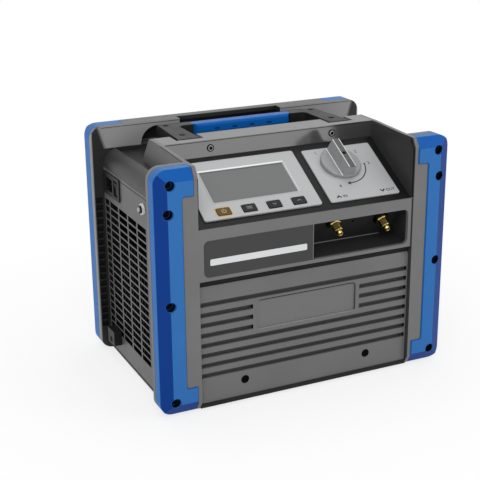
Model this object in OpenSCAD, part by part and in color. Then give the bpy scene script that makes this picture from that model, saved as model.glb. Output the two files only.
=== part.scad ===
// Portable refrigerant recovery machine with a sloping console and a carrying handle.
// Sizes are in millimetres. X runs to the right, Y to the back and Z up.

/* [Casing] */
// Overall width over the corner guards
case_w = 400; // [380:1:460]
// Overall depth over the corner guards
case_d = 266; // [256:1:306]
// Top of the front guards above the casing bottom
front_top = 307; // [304:1:309]
// Top of the rear rim above the casing bottom
rear_top = 311; // [311:1:316]
// Top of the ridge behind the console above the casing bottom
ridge_top = 310; // [308:1:311]
// Depth of the front rim
rim_d = 30; // [27:1:34]
// Depth of the rear rim
rear_rim_d = 36; // [35:1:40]
// Radius of the rim corners seen from the front
rim_r = 16; // [12:1:20]
// Distance of the side panels inside the guards
side_inset = 15; // [12:1:18]
// Thickness of the top cover and the rear panel
panel_t = 3; // [2.4:0.1:4]
// Thickness of the side panels
side_t = 1.2; // [1:0.1:2]
// Height of the seam between the side panels and the top cover
seam_z = 258; // [254:1:260]
// Height of the top cover
cover_z = 281; // [279:1:284]
// Radius of the shoulders of the top cover
shoulder_r = 20; // [14:1:22]
// Height of the rubber feet under the casing
foot_h = 4; // [3:0.5:8]
// Diameter of the rubber feet
foot_dia = 30; // [22:1:36]

/* [Corner guards] */
// Thickness of the guards
guard_t = 3; // [2:0.5:4]
// Width of the flat front face of a guard
guard_face_w = 18; // [14:1:22]
// Sideways run of the long chamfer of a guard
chamfer_x = 14.7; // [10:0.1:18]
// Depth of the long chamfer of a guard
chamfer_y = 8; // [6:0.5:10]
// Height of the facets at the top and bottom of a guard
facet_z = 14; // [8:1:18]
// Depth of the side wall of a front guard
guard_side_d = 22; // [18:1:25]
// Depth of the side wall of a rear guard
rear_side_d = 28; // [22:1:30]
// Inward reach of the tabs at the top and bottom of a guard
tab_reach = 14.7; // [8:0.1:18]
// Height of the tabs
tab_h = 33; // [26:1:40]
// Diameter of the counterbores in the guards
guard_bore_dia = 12; // [9:0.5:13]
// Depth of the counterbores in the guards
guard_bore_d = 9; // [7:0.5:12]
// Wall and floor of the sunk bosses round the counterbores
boss_wall = 2; // [1.6:0.2:3]

/* [Front] */
// Half width between the columns
bay_half_w = 147.5; // [140:0.5:150]
// Lower edge of the lip over the vented panel
lip_bottom = 166.5; // [160:0.5:170]
// Upper edge of the lip, where the console starts
lip_top = 230.7; // [226:0.1:236]
// Thickness of the lip
lip_t = 5; // [4:0.5:7]
// Distance of the lip and columns behind the guard faces
lip_y = 1.5; // [1:0.5:2.5]
// Upper edge of the vented panel
vent_top = 157; // [152:1:159]
// Distance of the vented panel behind the guard faces
vent_y = 8; // [6:0.5:10]
// Pitch of the vent rows in the lower panel
vent_pitch = 13.3; // [12:0.1:13.6]
// Height of the vent rows in the lower panel
vent_h = 6; // [4:0.1:7]
// Width of the badge area in the lower panel
badge_w = 139; // [110:1:150]
// Height of the badge area in the lower panel
badge_h = 39; // [36:1:41]

/* [Console] */
// Slope of the console
console_tilt = 30; // [27:0.5:31]
// Length of the console up its slope
console_len = 116; // [112:0.5:118]
// Thickness of the console tray
tray_t = 3; // [2:0.5:4]
// Width of the display bezel
bezel_w = 157; // [150:1:160]
// Length of the display bezel up the slope
bezel_h = 96; // [92:1:98]
// Width of the display window
lcd_w = 118; // [100:1:124]
// Height of the display window up the slope
lcd_h = 56; // [48:1:60]
// Width of the push buttons
button_w = 18; // [14:0.5:22]
// Height of the push buttons up the slope
button_h = 11.6; // [9:0.2:14]
// Distance between the push buttons
button_pitch = 33.5; // [30:0.5:34]
// Travel of the push buttons
button_travel = 1; // [0.6:0.1:1.4]
// Width of the knob plate
knob_plate_w = 99; // [90:1:102]
// Length of the knob plate up the slope
knob_plate_h = 93.4; // [88:0.2:96]
// Diameter of the knob
knob_dia = 53; // [44:1:58]
// Height of the grip bar of the knob
knob_h = 20; // [16:1:24]

/* [Ports] */
// Thread diameter of the flare ports
flare_dia = 11.1; // [9:0.1:13]
// Width of the port hexagons across the flats
hex_w = 15; // [13:0.5:18]
// Downward tilt of the ports
port_tilt = 30; // [20:1:36]
// Distance between the ports
port_pitch = 70.5; // [64:0.5:76]
// Depth of the port bay
bay_d = 45; // [42:1:52]

/* [Side grille] */
// Number of rows of the side grille
grille_rows = 19; // [12:1:19]
// Number of columns of the side grille
grille_cols = 6; // [3:1:6]
// Pitch of the grille rows
grille_pitch_z = 9.75; // [8:0.05:9.8]
// Pitch of the grille columns
grille_pitch_y = 33.9; // [26:0.1:34]
// Height of a grille opening
grille_open_z = 7.5; // [5:0.1:7.6]
// Width of a grille opening
grille_open_y = 29.9; // [20:0.1:30]

/* [Handle] */
// Length of the blue grip
grip_len = 143; // [120:1:146]
// Depth of the grip from front to back
grip_d = 20.5; // [18:0.5:24]
// Height of the grip
grip_h = 14.5; // [12:0.5:16]
// Width of the handle brackets
bracket_w = 28.5; // [24:0.5:32]
// Distance from the middle to the centre of a bracket
bracket_x = 107.3; // [100:0.1:112]

/* [Compressor] */
// Diameter of the motor
motor_dia = 96; // [80:1:100]
// Length of the motor
motor_len = 92; // [80:1:100]
// Diameter of the drive shaft
shaft_dia = 10; // [8:0.5:14]
// Diameter of the fan
fan_dia = 150; // [120:1:156]
// Number of fan blades
fan_blades = 7; // [5:1:9]
// Number of condenser fins
fin_count = 16; // [8:1:20]
// Outer diameter of the copper pipes
pipe_dia = 8; // [6:0.5:10]

/* [Fits] */
// Clearance round pieces that slide
slide_gap = 0.35; // [0.3:0.05:0.5]
// Clearance of a shaft in its bearing, on the radius
bearing_gap = 0.05; // [0.02:0.01:0.1]
// Diameter of the casing screws
screw_dia = 4; // [3:0.5:4.5]
// Head diameter of the casing screws
screw_head_dia = 8; // [6:0.5:8.5]
// Head height of the casing screws
screw_head_h = 1.8; // [1.2:0.1:1.8]

/* [Hidden] */
$fn = 48;
casing_grey = "#767676";
panel_grey = "#6b6b6b";
guard_blue = "#3a72b4";
charcoal = "#303030";
black = "#1a1a1a";
pale_grey = "#b4b4b4";
brass = "#c9a24a";
steel = "#9a9da0";

// Planes that the casing pieces share
side_x = case_w / 2 - side_inset;
inner_x = side_x - side_t;
rear_y = case_d - rear_rim_d;
cheek_t = 5;
cheek_x = bay_half_w + cheek_t;
pan_t = 2;
pan_edge_h = 5;
ledge_t = 3;
vent_t = 8;
fit_gap = 0.3;
over = 1;

// Console: its lower edge, its upper edge and the ridge behind it
tray_y = lip_y + 2.3;
console_end_y = tray_y + console_len * cos(console_tilt);
console_end_z = lip_top + console_len * sin(console_tilt);
ridge_d = 37;
ridge_lean = 0.83;
ridge_back_y = console_end_y + ridge_d;
ridge_foot_y = ridge_back_y + (ridge_top - cover_z) * ridge_lean;

// Guards: inner edge of the face, edges of the tabs and screw places
guard_x = case_w / 2 - chamfer_x - guard_face_w;
tab_x = guard_x - tab_reach;
tab_r = 3;
guard_gap = 0.5;
guard_screw_far_x = guard_x + guard_face_w * 0.8;
guard_screw_near_x = guard_screw_far_x + 2.9;
guard_screw_zs = [17, 142, 255];
guard_screw_top = 18;
screw_len = 12;

// Rear frame: opening for the panel, hand pocket and its roof
rear_open_x = bay_half_w - 7.5;
rear_open_top = 262;
rear_rebate = 7;
rear_panel_y = case_d - 14;
pocket_half_w = 131;
pocket_back_y = case_d - 8;
pocket_roof_z = rear_top - 6;
pocket_r = 23;
grip_notch_d = 15;
rib_pitch = 8.6;
rib_first = 3;
rib_groove_w = 1.2;
rib_groove_d = 0.8;
louvre_d = 3;
louvre_edge = 3;

// Handle
handle_y = rear_y - 29.5;
bracket_end_y = handle_y + 14;
bracket_end_chamfer = 6;
bracket_taper = 6.5;
tongue_front_y = console_end_y + 17;
tongue_t = 8;
bracket_gap = 4;
bracket_heel_y = ridge_foot_y + 3;
handle_screw_ys = [tongue_front_y + 22, handle_y];

module placed() translate([0, -case_d / 2, foot_h]) children();

module both_sides() {
    children();
    mirror([1, 0, 0]) children();
}

// A flat outline in X and Z, drawn out along Y
module along_y(y0, y1) translate([0, y1, 0]) rotate([90, 0, 0]) linear_extrude(y1 - y0) children();

// A flat outline in Y and Z, drawn out along X
module along_x(x0, x1) translate([x0, 0, 0]) rotate([90, 0, 90]) linear_extrude(x1 - x0) children();

// A flat outline in X and Y, drawn out along Z
module along_z(z0, z1) translate([0, 0, z0]) linear_extrude(z1 - z0) children();

module block(x0, x1, y0, y1, z0, z1) translate([x0, y0, z0]) cube([x1 - x0, y1 - y0, z1 - z0]);

module rod_y(dia, y0, y1) translate([0, y1, 0]) rotate([90, 0, 0]) cylinder(d = dia, h = y1 - y0);

module rod_x(dia, x0, x1) translate([x0, 0, 0]) rotate([0, 90, 0]) cylinder(d = dia, h = x1 - x0);

module round_rect(w, h, r) {
    square([w, h - 2 * r], center = true);
    square([w - 2 * r, h], center = true);
    for (x = [-1, 1], y = [-1, 1])
        translate([x * (w / 2 - r), y * (h / 2 - r)]) circle(r);
}

module chamfered_rect(w, h, c) polygon([
    [w / 2, c - h / 2], [w / 2, h / 2 - c], [w / 2 - c, h / 2], [c - w / 2, h / 2],
    [-w / 2, h / 2 - c], [-w / 2, c - h / 2], [c - w / 2, -h / 2], [w / 2 - c, -h / 2]]);

// Outline of one edge with a chamfer of run by rise, moved in by inset on every side
function chamfer_edge(half, run, rise, inset) = let (slant = norm([run, rise])) [
    [half - inset, rise + inset * (slant - rise) / run],
    [half - run - inset * (slant - run) / rise, inset]
];

function mirrored(points) = [for (i = [len(points) - 1:-1:0]) [-points[i][0], points[i][1]]];

// Outer form of a rim with its chamfers, moved in by inset on every side
module rim_block(top, inset) {
    plan = chamfer_edge(case_w / 2, chamfer_x, chamfer_y, inset);
    facet = chamfer_edge(top / 2, facet_z, chamfer_y, inset);
    intersection() {
        along_y(0, rear_rim_d) translate([0, top / 2])
            round_rect(case_w - 2 * inset, top - 2 * inset, rim_r - inset);
        along_z(-over, top + over) polygon(concat(
            [[case_w / 2 - inset, rear_rim_d + over]], plan, mirrored(plan),
            [[inset - case_w / 2, rear_rim_d + over]]));
        along_x(-case_w, case_w) translate([0, top / 2]) rotate(90) mirror([0, 1]) polygon(concat(
            [[top / 2 - inset, rear_rim_d + over]], facet, mirrored(facet),
            [[inset - top / 2, rear_rim_d + over]]));
    }
}

// Filler of the inner corner between the strip and a tab of a guard
module tab_fillet(r) difference() {
    translate([-r, -over]) square([r + over, r + over]);
    translate([-r, r]) circle(r);
}

// Front outline of the right guard, grown by gap: a tall strip with a tab at each end
module guard_outline(top, gap) {
    translate([guard_x - gap, -over]) square([case_w, top + 2 * over]);
    translate([tab_x - gap, -over]) square([case_w, tab_h + gap + over]);
    translate([tab_x - gap, top - tab_h - gap]) square([case_w, tab_h + gap + over]);
    translate([guard_x - gap, tab_h + gap]) tab_fillet(tab_r - gap);
    translate([guard_x - gap, top - tab_h - gap]) mirror([0, 1]) tab_fillet(tab_r - gap);
}

function guard_screws_at(top) = concat(
    [[guard_screw_far_x, guard_screw_zs[0]], [guard_screw_far_x, top - guard_screw_top]],
    [for (i = [1, 2]) [guard_screw_near_x, guard_screw_zs[i]]]);

// Space that the right guard takes up, grown by gap and open to the outside
module guard_space(top, side_d, gap) difference() {
    along_y(-over, side_d + gap) guard_outline(top, gap);
    rim_block(top, guard_t);
}

module guard_shell(top, side_d) intersection() {
    rim_block(top, 0);
    guard_space(top, side_d, 0);
}

module guard_bosses(top, gap) for (p = guard_screws_at(top)) translate([p[0], 0, p[1]])
    rod_y(guard_bore_dia + 2 * boss_wall + gap, guard_t / 2, guard_bore_d + boss_wall);

module guard(top, side_d) difference() {
    union() {
        guard_shell(top, side_d);
        intersection() {
            guard_bosses(top, 0);
            rim_block(top, 0);
        }
    }
    for (p = guard_screws_at(top)) translate([p[0], 0, p[1]]) {
        rod_y(guard_bore_dia, -over, guard_bore_d);
        rod_y(screw_dia + fit_gap, -over, rim_d);
    }
}

// Rim with the seats of both guards cut away
module rim_seat(top, side_d) difference() {
    rim_block(top, 0);
    both_sides() guard_space(top, side_d, guard_gap);
    both_sides() guard_bosses(top, fit_gap);
    both_sides() for (p = guard_screws_at(top))
        translate([p[0], 0, p[1]]) rod_y(screw_dia + fit_gap, 0, guard_bore_d + screw_len + over);
}

module to_rear() translate([0, case_d, 0]) mirror([0, 1, 0]) children();

module front_guard_right() color(guard_blue) placed() guard(front_top, guard_side_d);

module front_guard_left() color(guard_blue) placed() mirror([1, 0, 0]) guard(front_top, guard_side_d);

module rear_guard_right() color(guard_blue) placed() to_rear() guard(rear_top, rear_side_d);

module rear_guard_left() color(guard_blue) placed() to_rear() mirror([1, 0, 0]) guard(rear_top, rear_side_d);

module guard_screw() {
    rod_y(screw_head_dia, guard_bore_d - screw_head_h, guard_bore_d);
    rod_y(screw_dia, guard_bore_d, guard_bore_d + screw_len);
}

module guard_screws() color(steel) placed() both_sides() {
    for (p = guard_screws_at(front_top)) translate([p[0], 0, p[1]]) guard_screw();
    to_rear() for (p = guard_screws_at(rear_top)) translate([p[0], 0, p[1]]) guard_screw();
}

// Section of the ridge behind the console
module ridge_profile() polygon([
    [console_end_y, console_end_z], [console_end_y, ridge_top], [ridge_back_y, ridge_top],
    [ridge_foot_y, cover_z], [ridge_foot_y, cover_z - panel_t], [console_end_y, cover_z - panel_t]]);

// Side of a cheek between the column and the end of the ridge
module cheek_profile() polygon([
    [rim_d / 2, cover_z - shoulder_r], [rim_d / 2, front_top], [rim_d, front_top],
    [console_end_y, ridge_top], [ridge_back_y, ridge_top], [ridge_foot_y, cover_z],
    [ridge_foot_y, cover_z - shoulder_r]]);

module front_housing() color(casing_grey) placed() difference() {
    union() {
        difference() {
            rim_seat(front_top, guard_side_d);
            block(-case_w, case_w, rim_d, case_d, -over, front_top + over);
            block(-bay_half_w, bay_half_w, -over, rim_d + over, -over, front_top + over);
            block(-guard_x, guard_x, -over, lip_y, -over, front_top + over);
        }
        block(-bay_half_w - over, bay_half_w + over, lip_y, lip_y + lip_t, lip_bottom, lip_top);
        both_sides() block(bay_half_w - 8, bay_half_w + over, vent_y + vent_t, vent_y + vent_t + ledge_t,
            pan_edge_h, lip_bottom + over);
        block(-bay_half_w - over, bay_half_w + over, vent_y + vent_t, vent_y + vent_t + ledge_t,
            pan_edge_h, panel_screw_z + 8);
        both_sides() along_x(bay_half_w, cheek_x) cheek_profile();
        along_x(-bay_half_w - over, bay_half_w + over) ridge_profile();
    }
    both_sides() block(bracket_x - bracket_w / 2 - bracket_gap, bracket_x + bracket_w / 2 + bracket_gap,
        tongue_front_y - bracket_gap, case_d, ridge_top - tongue_t, ridge_top + over);
    both_sides() translate([bracket_x, handle_screw_ys[0], ridge_top - tongue_t - screw_len])
        cylinder(d = screw_dia + fit_gap, h = screw_len + over);
    both_sides() translate([console_screw_x, 0, console_screw_z])
        rod_y(screw_dia + fit_gap, console_end_y - over, console_end_y + screw_len + over);
    both_sides() translate([panel_screw_x, 0, panel_screw_z]) rod_y(screw_dia + fit_gap, 0, rim_d);
    along_y(-over, lip_y + lip_t + over) bay_outline(0);
    along_y(-over, lip_y + nameplate_t) nameplate_outline(0);
    tray_slab();
}

// Window in the lip: the port bay on the right and the nameplate on the left
window_half_w = 140.5;
window_low = lip_bottom + 4.5;
window_high = lip_top - 14;
window_r = 7;
divider_x = 4.5;
nameplate_t = 1.2;
nameplate_w = window_half_w + divider_x;

// Part of the window from X = 0 to its rounded end, moved out by grow on every side
module window_part(end, grow) {
    w = end + 2 * grow;
    h = window_high - window_low + 2 * grow;
    translate([end / 2, (window_high + window_low) / 2]) {
        round_rect(w, h, window_r);
        translate([-w / 2, -h / 2]) square([w / 2, h]);
    }
}

module bay_outline(grow) translate([divider_x, 0]) window_part(window_half_w - divider_x, grow);

module nameplate_outline(grow) translate([divider_x - over, 0]) mirror([1, 0]) window_part(nameplate_w, grow);

module nameplate() color("#474747") placed()
    along_y(lip_y, lip_y + nameplate_t) nameplate_outline(-fit_gap / 2);

// Port bay: a pocket whose back wall stands square to the ports
bay_wall = 2;
bay_floor_rise = 4;
bay_front_y = lip_y + lip_t;
bay_top_y = bay_d - (window_high - window_low - bay_floor_rise) * tan(port_tilt);

module bay_section(grow) polygon([
    [bay_front_y - (grow > 0 ? 0 : over), window_low - grow],
    [bay_d + grow, window_low + bay_floor_rise - grow],
    [bay_top_y + grow, window_high + grow], [bay_front_y - (grow > 0 ? 0 : over), window_high + grow]]);

port_x = [divider_x + 41.5, divider_x + 41.5 + port_pitch];
port_z = [window_high - 10, window_high - 15];
stem_dia = flare_dia - 2;
stem_len = 14;
port_hex_h = 7;
thread_len = 11;
flare_len = 4;

module at_port(i) translate([port_x[i],
    bay_d - (port_z[i] - window_low - bay_floor_rise) * tan(port_tilt), port_z[i]])
    rotate([90 + port_tilt, 0, 0]) children();

module port_bay() color(black) placed() difference() {
    along_x(divider_x - bay_wall, window_half_w + bay_wall) bay_section(bay_wall);
    along_x(divider_x, window_half_w) bay_section(0);
    for (i = [0, 1]) at_port(i) translate([0, 0, -stem_len])
        cylinder(d = stem_dia + fit_gap, h = 2 * stem_len);
}

// Brass flare connector: hexagon, collar, threaded barrel, cone and through hole
module flare_port() difference() {
    union() {
        cylinder(d = hex_w / cos(30), h = port_hex_h, $fn = 6);
        cylinder(d = flare_dia, h = port_hex_h + thread_len);
        translate([0, 0, port_hex_h + thread_len])
            cylinder(d1 = flare_dia - 1.4, d2 = flare_dia - 4, h = flare_len);
        translate([0, 0, -stem_len]) cylinder(d = stem_dia, h = stem_len + over);
    }
    translate([0, 0, -stem_len - over]) cylinder(d = flare_dia / 2 - 0.8, h = 60);
}

module inlet_port() color(brass) placed() at_port(0) flare_port();

module outlet_port() color(brass) placed() at_port(1) flare_port();

// Lower front panel with rows of vents round a bare badge area
vent_rows = 8;
vent_first_z = 134.5;
vent_edge = 2;
vent_half_w = bay_half_w - vent_edge;
vent_bridge = 3;
vent_groove_d = 6;
badge_z = 109;
badge_gap = 5.5;
badge_d = 2.4;
badge_r = 5;
slit_trim = 2;
panel_gap = 0.5;
panel_bevel = 4;
panel_screw_x = 86.6;
panel_screw_z = 26;
panel_bore_dia = 11;
slit_h = vent_h / 3;
panel_bore_d = 5;

function meets_badge(z) = abs(z - badge_z) < badge_h / 2;

// One row of vents, as a full groove or as the two parts beside the badge
module vent_row(z, h, trim) {
    inner = meets_badge(z) ? badge_w / 2 + badge_gap : trim > 0 ? vent_bridge : 0;
    translate([0, z]) both_sides() translate([inner + trim, -h / 2])
        square([vent_half_w - inner - 2 * trim, h]);
}

module lower_front_panel() color(panel_grey) placed() difference() {
    intersection() {
        block(panel_gap - bay_half_w, bay_half_w - panel_gap, vent_y, vent_y + vent_t, pan_edge_h, vent_top);
        along_x(-bay_half_w, bay_half_w) polygon([
            [vent_y, 0], [vent_y, vent_top - panel_bevel], [vent_y + panel_bevel / 2, vent_top],
            [vent_y + vent_t + over, vent_top], [vent_y + vent_t + over, 0]]);
    }
    for (i = [0:vent_rows - 1]) {
        z = vent_first_z - i * vent_pitch;
        along_y(0, vent_y + vent_groove_d) vent_row(z, vent_h, 0);
        along_y(0, vent_y + vent_t + over) vent_row(z + (vent_h - slit_h) / 2, slit_h, slit_trim);
    }
    along_y(0, vent_y + badge_d) translate([0, badge_z]) round_rect(badge_w, badge_h, badge_r);
    both_sides() translate([panel_screw_x, 0, panel_screw_z]) {
        rod_y(panel_bore_dia, 0, vent_y + panel_bore_d);
        rod_y(screw_dia + fit_gap, 0, rim_d);
    }
}

module panel_screws() color(steel) placed() both_sides() translate([panel_screw_x, 0, panel_screw_z]) {
    rod_y(screw_head_dia, vent_y + panel_bore_d - screw_head_h, vent_y + panel_bore_d);
    rod_y(screw_dia, vent_y + panel_bore_d, vent_y + screw_len);
}

// Seal that closes the groove between the lip and the lower panel
module panel_seal() color(black) placed() along_x(-bay_half_w, bay_half_w) polygon([
    [vent_y + panel_bevel / 2, vent_top], [lip_y + lip_t - 2, lip_bottom], [lip_y + lip_t, lip_bottom],
    [vent_y + vent_t, vent_top]]);

// Floor pan with upturned side flanges and a front and rear edge between the columns
pan_flange_h = 22;
pan_edge_y = vent_y - 2;
pan_edge_t = 8;

module base_pan() color(black) placed() {
    block(-inner_x, inner_x, rim_d, rear_y, 0, pan_t);
    block(-bay_half_w, bay_half_w, pan_edge_y, rim_d + over, 0, pan_t);
    block(-bay_half_w, bay_half_w, pan_edge_y, pan_edge_y + pan_edge_t, 0, pan_edge_h);
    block(-rear_open_x, rear_open_x, rear_y - over, rear_panel_y, 0, pan_t);
    both_sides() block(inner_x - pan_t, inner_x, rim_d, rear_y, 0, pan_flange_h);
}

foot_x = case_w / 2 - 60;
foot_inset = 55;
foot_ys = [foot_inset, case_d - foot_inset];

module rubber_feet() color(black) placed() both_sides() for (y = foot_ys)
    translate([foot_x, y, -foot_h]) cylinder(d1 = foot_dia - 2, d2 = foot_dia, h = foot_h);

// Side panels with a grid of vents
grille_top = 216;
grille_first_y = rim_d + 12;
panel_low = 6;
groove_d = 0.6;
groove_h = 1.4;
groove_drop = 3.5;

module side_panel_form() difference() {
    side_panel_plate();
    block(side_x - groove_d, side_x + over, 0, case_d, seam_z - groove_drop - groove_h, seam_z - groove_drop);
}

module side_panel_plate() along_x(inner_x, side_x) difference() {
    translate([rim_d, panel_low]) square([rear_y - rim_d, seam_z - panel_low]);
    for (i = [0:grille_rows - 1], j = [0:grille_cols - 1])
        translate([grille_first_y + j * grille_pitch_y, grille_top - i * grille_pitch_z - grille_open_z])
            square([min(grille_open_y, rear_y - panel_t - grille_first_y - j * grille_pitch_y),
                grille_open_z]);
}

module side_panel_right() color(panel_grey) placed() difference() {
    side_panel_form();
    block_holes();
}

module side_panel_left() color(panel_grey) placed() mirror([1, 0, 0]) difference() {
    side_panel_form();
    block_holes();
    along_x(inner_x - over, side_x + over) translate([power_y, power_z])
        square([power_w + fit_gap, power_h + fit_gap], center = true);
    translate([0, breaker_y, breaker_z]) rod_x(breaker_dia + fit_gap, inner_x - over, side_x + over);
}

// Top cover with rounded shoulders, notched round the console and ridge
valley_x0 = bracket_x + bracket_w / 2 + 2;
valley_x1 = side_x - shoulder_r + 3;
valley_d = 5;

// Sunk strips of the cover between its shoulders and the handle
module cover_valleys(inset) for (side = [-1, 1]) polygon([
    [side * (valley_x0 - inset), cover_z + over],
    [side * (valley_x0 + valley_d - inset), cover_z - valley_d - inset],
    [side * (valley_x1 - valley_d + inset), cover_z - valley_d - inset],
    [side * (valley_x1 + inset), cover_z + over]]);

module cover_section(inset) difference() {
    cover_form(inset);
    cover_valleys(inset);
}

module half_disc(r) intersection() {
    circle(r);
    translate([-r, 0]) square([2 * r, r]);
}

module cover_form(inset) {
    half = side_x - inset;
    r = shoulder_r - inset;
    top = cover_z - inset;
    translate([-half, seam_z - (inset > 0 ? over : 0)])
        square([2 * half, top - r - seam_z + (inset > 0 ? over : 0)]);
    translate([r - half, seam_z]) square([2 * (half - r), top - seam_z]);
    for (side = [-1, 1]) translate([side * (half - r), top - r]) half_disc(r);
}

module top_cover() color(panel_grey) placed() difference() {
    along_y(rim_d, rear_y) cover_section(0);
    along_y(rim_d - over, rear_y + over) cover_section(panel_t);
    block(-cheek_x, cheek_x, 0, ridge_foot_y, seam_z - over, cover_z + over);
}

// Rear frame: rim with the hand pocket under its top bar and the opening for the panel
module hand_pocket() translate([0, cover_z]) {
    translate([-pocket_half_w, 0]) square([2 * pocket_half_w, pocket_roof_z - cover_z - pocket_r]);
    translate([pocket_r - pocket_half_w, 0])
        square([2 * (pocket_half_w - pocket_r), pocket_roof_z - cover_z]);
    for (side = [-1, 1]) translate([side * (pocket_half_w - pocket_r), pocket_roof_z - cover_z - pocket_r])
        half_disc(pocket_r);
}

module rear_frame() color(casing_grey) placed() difference() {
    to_rear() rim_seat(rear_top, rear_side_d);
    along_y(rear_y - over, pocket_back_y) hand_pocket();
    block(-grip_len / 2 - bracket_gap, grip_len / 2 + bracket_gap, rear_y - over, rear_y + grip_notch_d,
        cover_z, rear_top + over);
    block(-rear_open_x, rear_open_x, rear_y - over, case_d + over, -over, rear_open_top);
    block(-rear_open_x - rear_rebate, rear_open_x + rear_rebate, rear_panel_y, case_d + over,
        -over, rear_open_top + rear_rebate);
    for (i = [0:2]) block(-tab_x, tab_x, rear_y + rib_first + i * rib_pitch,
        rear_y + rib_first + i * rib_pitch + rib_groove_w, rear_top - rib_groove_d, rear_top + over);
    both_sides() for (i = [0:grille_rows - 1])
        translate([0, 0, grille_top - i * grille_pitch_z - grille_open_z]) block(side_x + louvre_edge,
            case_w / 2 - louvre_edge, rear_y - over, rear_y + louvre_d, 0, grille_open_z);
}

rear_vent_w = 200;
rear_vent_rows = 14;
rear_vent_pitch = 14;
rear_vent_h = 6;
rear_vent_r = 2.5;
rear_vent_z = 50;

module rear_panel() color(panel_grey) placed() difference() {
    block(panel_gap - rear_open_x - rear_rebate, rear_open_x + rear_rebate - panel_gap, rear_panel_y,
        rear_panel_y + panel_t, pan_edge_h, rear_open_top + rear_rebate - panel_gap);
    for (i = [0:rear_vent_rows - 1]) along_y(rear_panel_y - over, rear_panel_y + panel_t + over)
        translate([0, rear_vent_z + i * rear_vent_pitch]) round_rect(rear_vent_w, rear_vent_h, rear_vent_r);
}

// Handle: two brackets from the ridge to the rear frame, with the grip between them
handle_top = ridge_top;
stub_d = grip_d - 4;
stub_fillet = 9;
grip_end_chamfer = 5;
finger_pitch = 22.5;
finger_r = 16;
finger_d = 2.6;

module bracket() difference() {
    union() {
        intersection() {
            along_x(bracket_x - bracket_w / 2, bracket_x + bracket_w / 2) polygon([
                [tongue_front_y, handle_top - tongue_t], [tongue_front_y, handle_top],
                [bracket_end_y - bracket_end_chamfer, handle_top],
                [bracket_end_y, handle_top - bracket_end_chamfer], [bracket_end_y, cover_z],
                [bracket_heel_y, cover_z], [bracket_heel_y, handle_top - tongue_t]]);
            along_z(cover_z - over, handle_top + over) polygon([
                [0, 0], [bracket_x + bracket_w / 2, 0], [bracket_x + bracket_w / 2, tongue_front_y],
                [bracket_x + bracket_w / 2 - bracket_taper, bracket_end_y], [0, bracket_end_y]]);
        }
        along_z(handle_top - grip_h, handle_top) bracket_stub();
    }
    for (y = handle_screw_ys) translate([bracket_x, y, handle_top]) {
        translate([0, 0, -screw_head_h]) cylinder(d = screw_head_dia + fit_gap, h = screw_head_h + over);
        translate([0, 0, -screw_len]) cylinder(d = screw_dia + fit_gap, h = screw_len + over);
    }
}

// Plan of the arm from a bracket to the grip, with a fillet at its front corner
module bracket_stub() {
    inner = bracket_x - bracket_w / 2;
    translate([grip_len / 2, handle_y - stub_d / 2]) square([inner - grip_len / 2 + over, stub_d]);
    translate([inner, handle_y - stub_d / 2]) difference() {
        translate([-stub_fillet, -stub_fillet]) square([stub_fillet + over, stub_fillet + over]);
        translate([-stub_fillet, -stub_fillet]) circle(stub_fillet);
    }
}

module handle_bracket_right() color("#585858") placed() bracket();

module handle_bracket_left() color("#585858") placed() mirror([1, 0, 0]) bracket();

grip_r = 4;

module at_grip() placed() translate([0, handle_y, handle_top - grip_h / 2]) children();

module handle_grip() color("#144c9c") at_grip() difference() {
    intersection() {
        along_x(-grip_len / 2, grip_len / 2) round_rect(grip_d, grip_h, grip_r);
        along_z(-grip_h, grip_h) chamfered_rect(grip_len, grip_d, grip_end_chamfer);
    }
    for (i = [-1.5:1.5]) translate([i * finger_pitch, 0, -grip_h / 2 - finger_r + finger_d])
        rod_y(2 * finger_r, -grip_d, grip_d);
}

module handle_screws() color(steel) placed() both_sides() for (y = handle_screw_ys)
    translate([bracket_x, y, handle_top - screw_head_h]) {
        cylinder(d = screw_head_dia, h = screw_head_h);
        translate([0, 0, screw_head_h - screw_len]) cylinder(d = screw_dia, h = screw_len - screw_head_h);
    }

// Console: local X to the right, local Y up the slope, local Z out of the tray
module on_console() placed() on_slope() children();

module on_slope() translate([0, tray_y, lip_top]) rotate([console_tilt, 0, 0]) children();

tray_wall = 2;
bezel_t = 2.5;
bezel_x = -56.5;
bezel_s = 58;
bezel_r = 3;
plate_r = 2.5;
lcd_s = 62.5;
lcd_t = 1.6;
button_s = 20.5;
button_proud = 1.2;
button_flange = 1.5;
button_flange_t = 2;
button_r = 2;
plate_t = 2;
plate_x = 84;
plate_s = 56.7;
knob_x = 76;
knob_s = 71.5;
knob_base_h = 5;
knob_lift = 0.5;
knob_top_w = 9;
knob_foot_w = 19;
spindle_dia = 10;
spindle_len = 34;
console_screw_x = 86;
console_screw_z = (console_end_z + ridge_top) / 2;

function button_x(i) = bezel_x + (i - 1.5) * button_pitch;

module tray_slab() on_slope() translate([-bay_half_w, 0, -tray_t])
    cube([2 * bay_half_w, console_len, tray_t]);

// Dark lining of the cheeks above the tray
module tray_side() along_x(bay_half_w - tray_wall, bay_half_w) polygon([
    [tray_y, lip_top], [tray_y, front_top - facet_z - tray_wall], [tray_y + chamfer_y, front_top - tray_wall],
    [console_end_y, front_top - tray_wall], [console_end_y, console_end_z]]);

module button_hole(gap) square([button_w + 2 * gap, button_h + 2 * gap], center = true);

module console_tray() color(charcoal) placed() difference() {
    union() {
        tray_slab();
        both_sides() tray_side();
    }
    on_slope() {
        for (i = [0:3]) translate([button_x(i), button_s]) along_z(-2 * tray_t, over) button_hole(slide_gap);
        translate([knob_x, knob_s, -2 * tray_t]) cylinder(d = spindle_dia + 2 * slide_gap, h = 3 * tray_t);
    }
}

module console_screws() color(steel) placed() both_sides() translate([console_screw_x, 0, console_screw_z]) {
    rod_y(screw_head_dia, console_end_y - screw_head_h, console_end_y);
    rod_y(screw_dia, console_end_y, console_end_y + screw_len);
}

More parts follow.
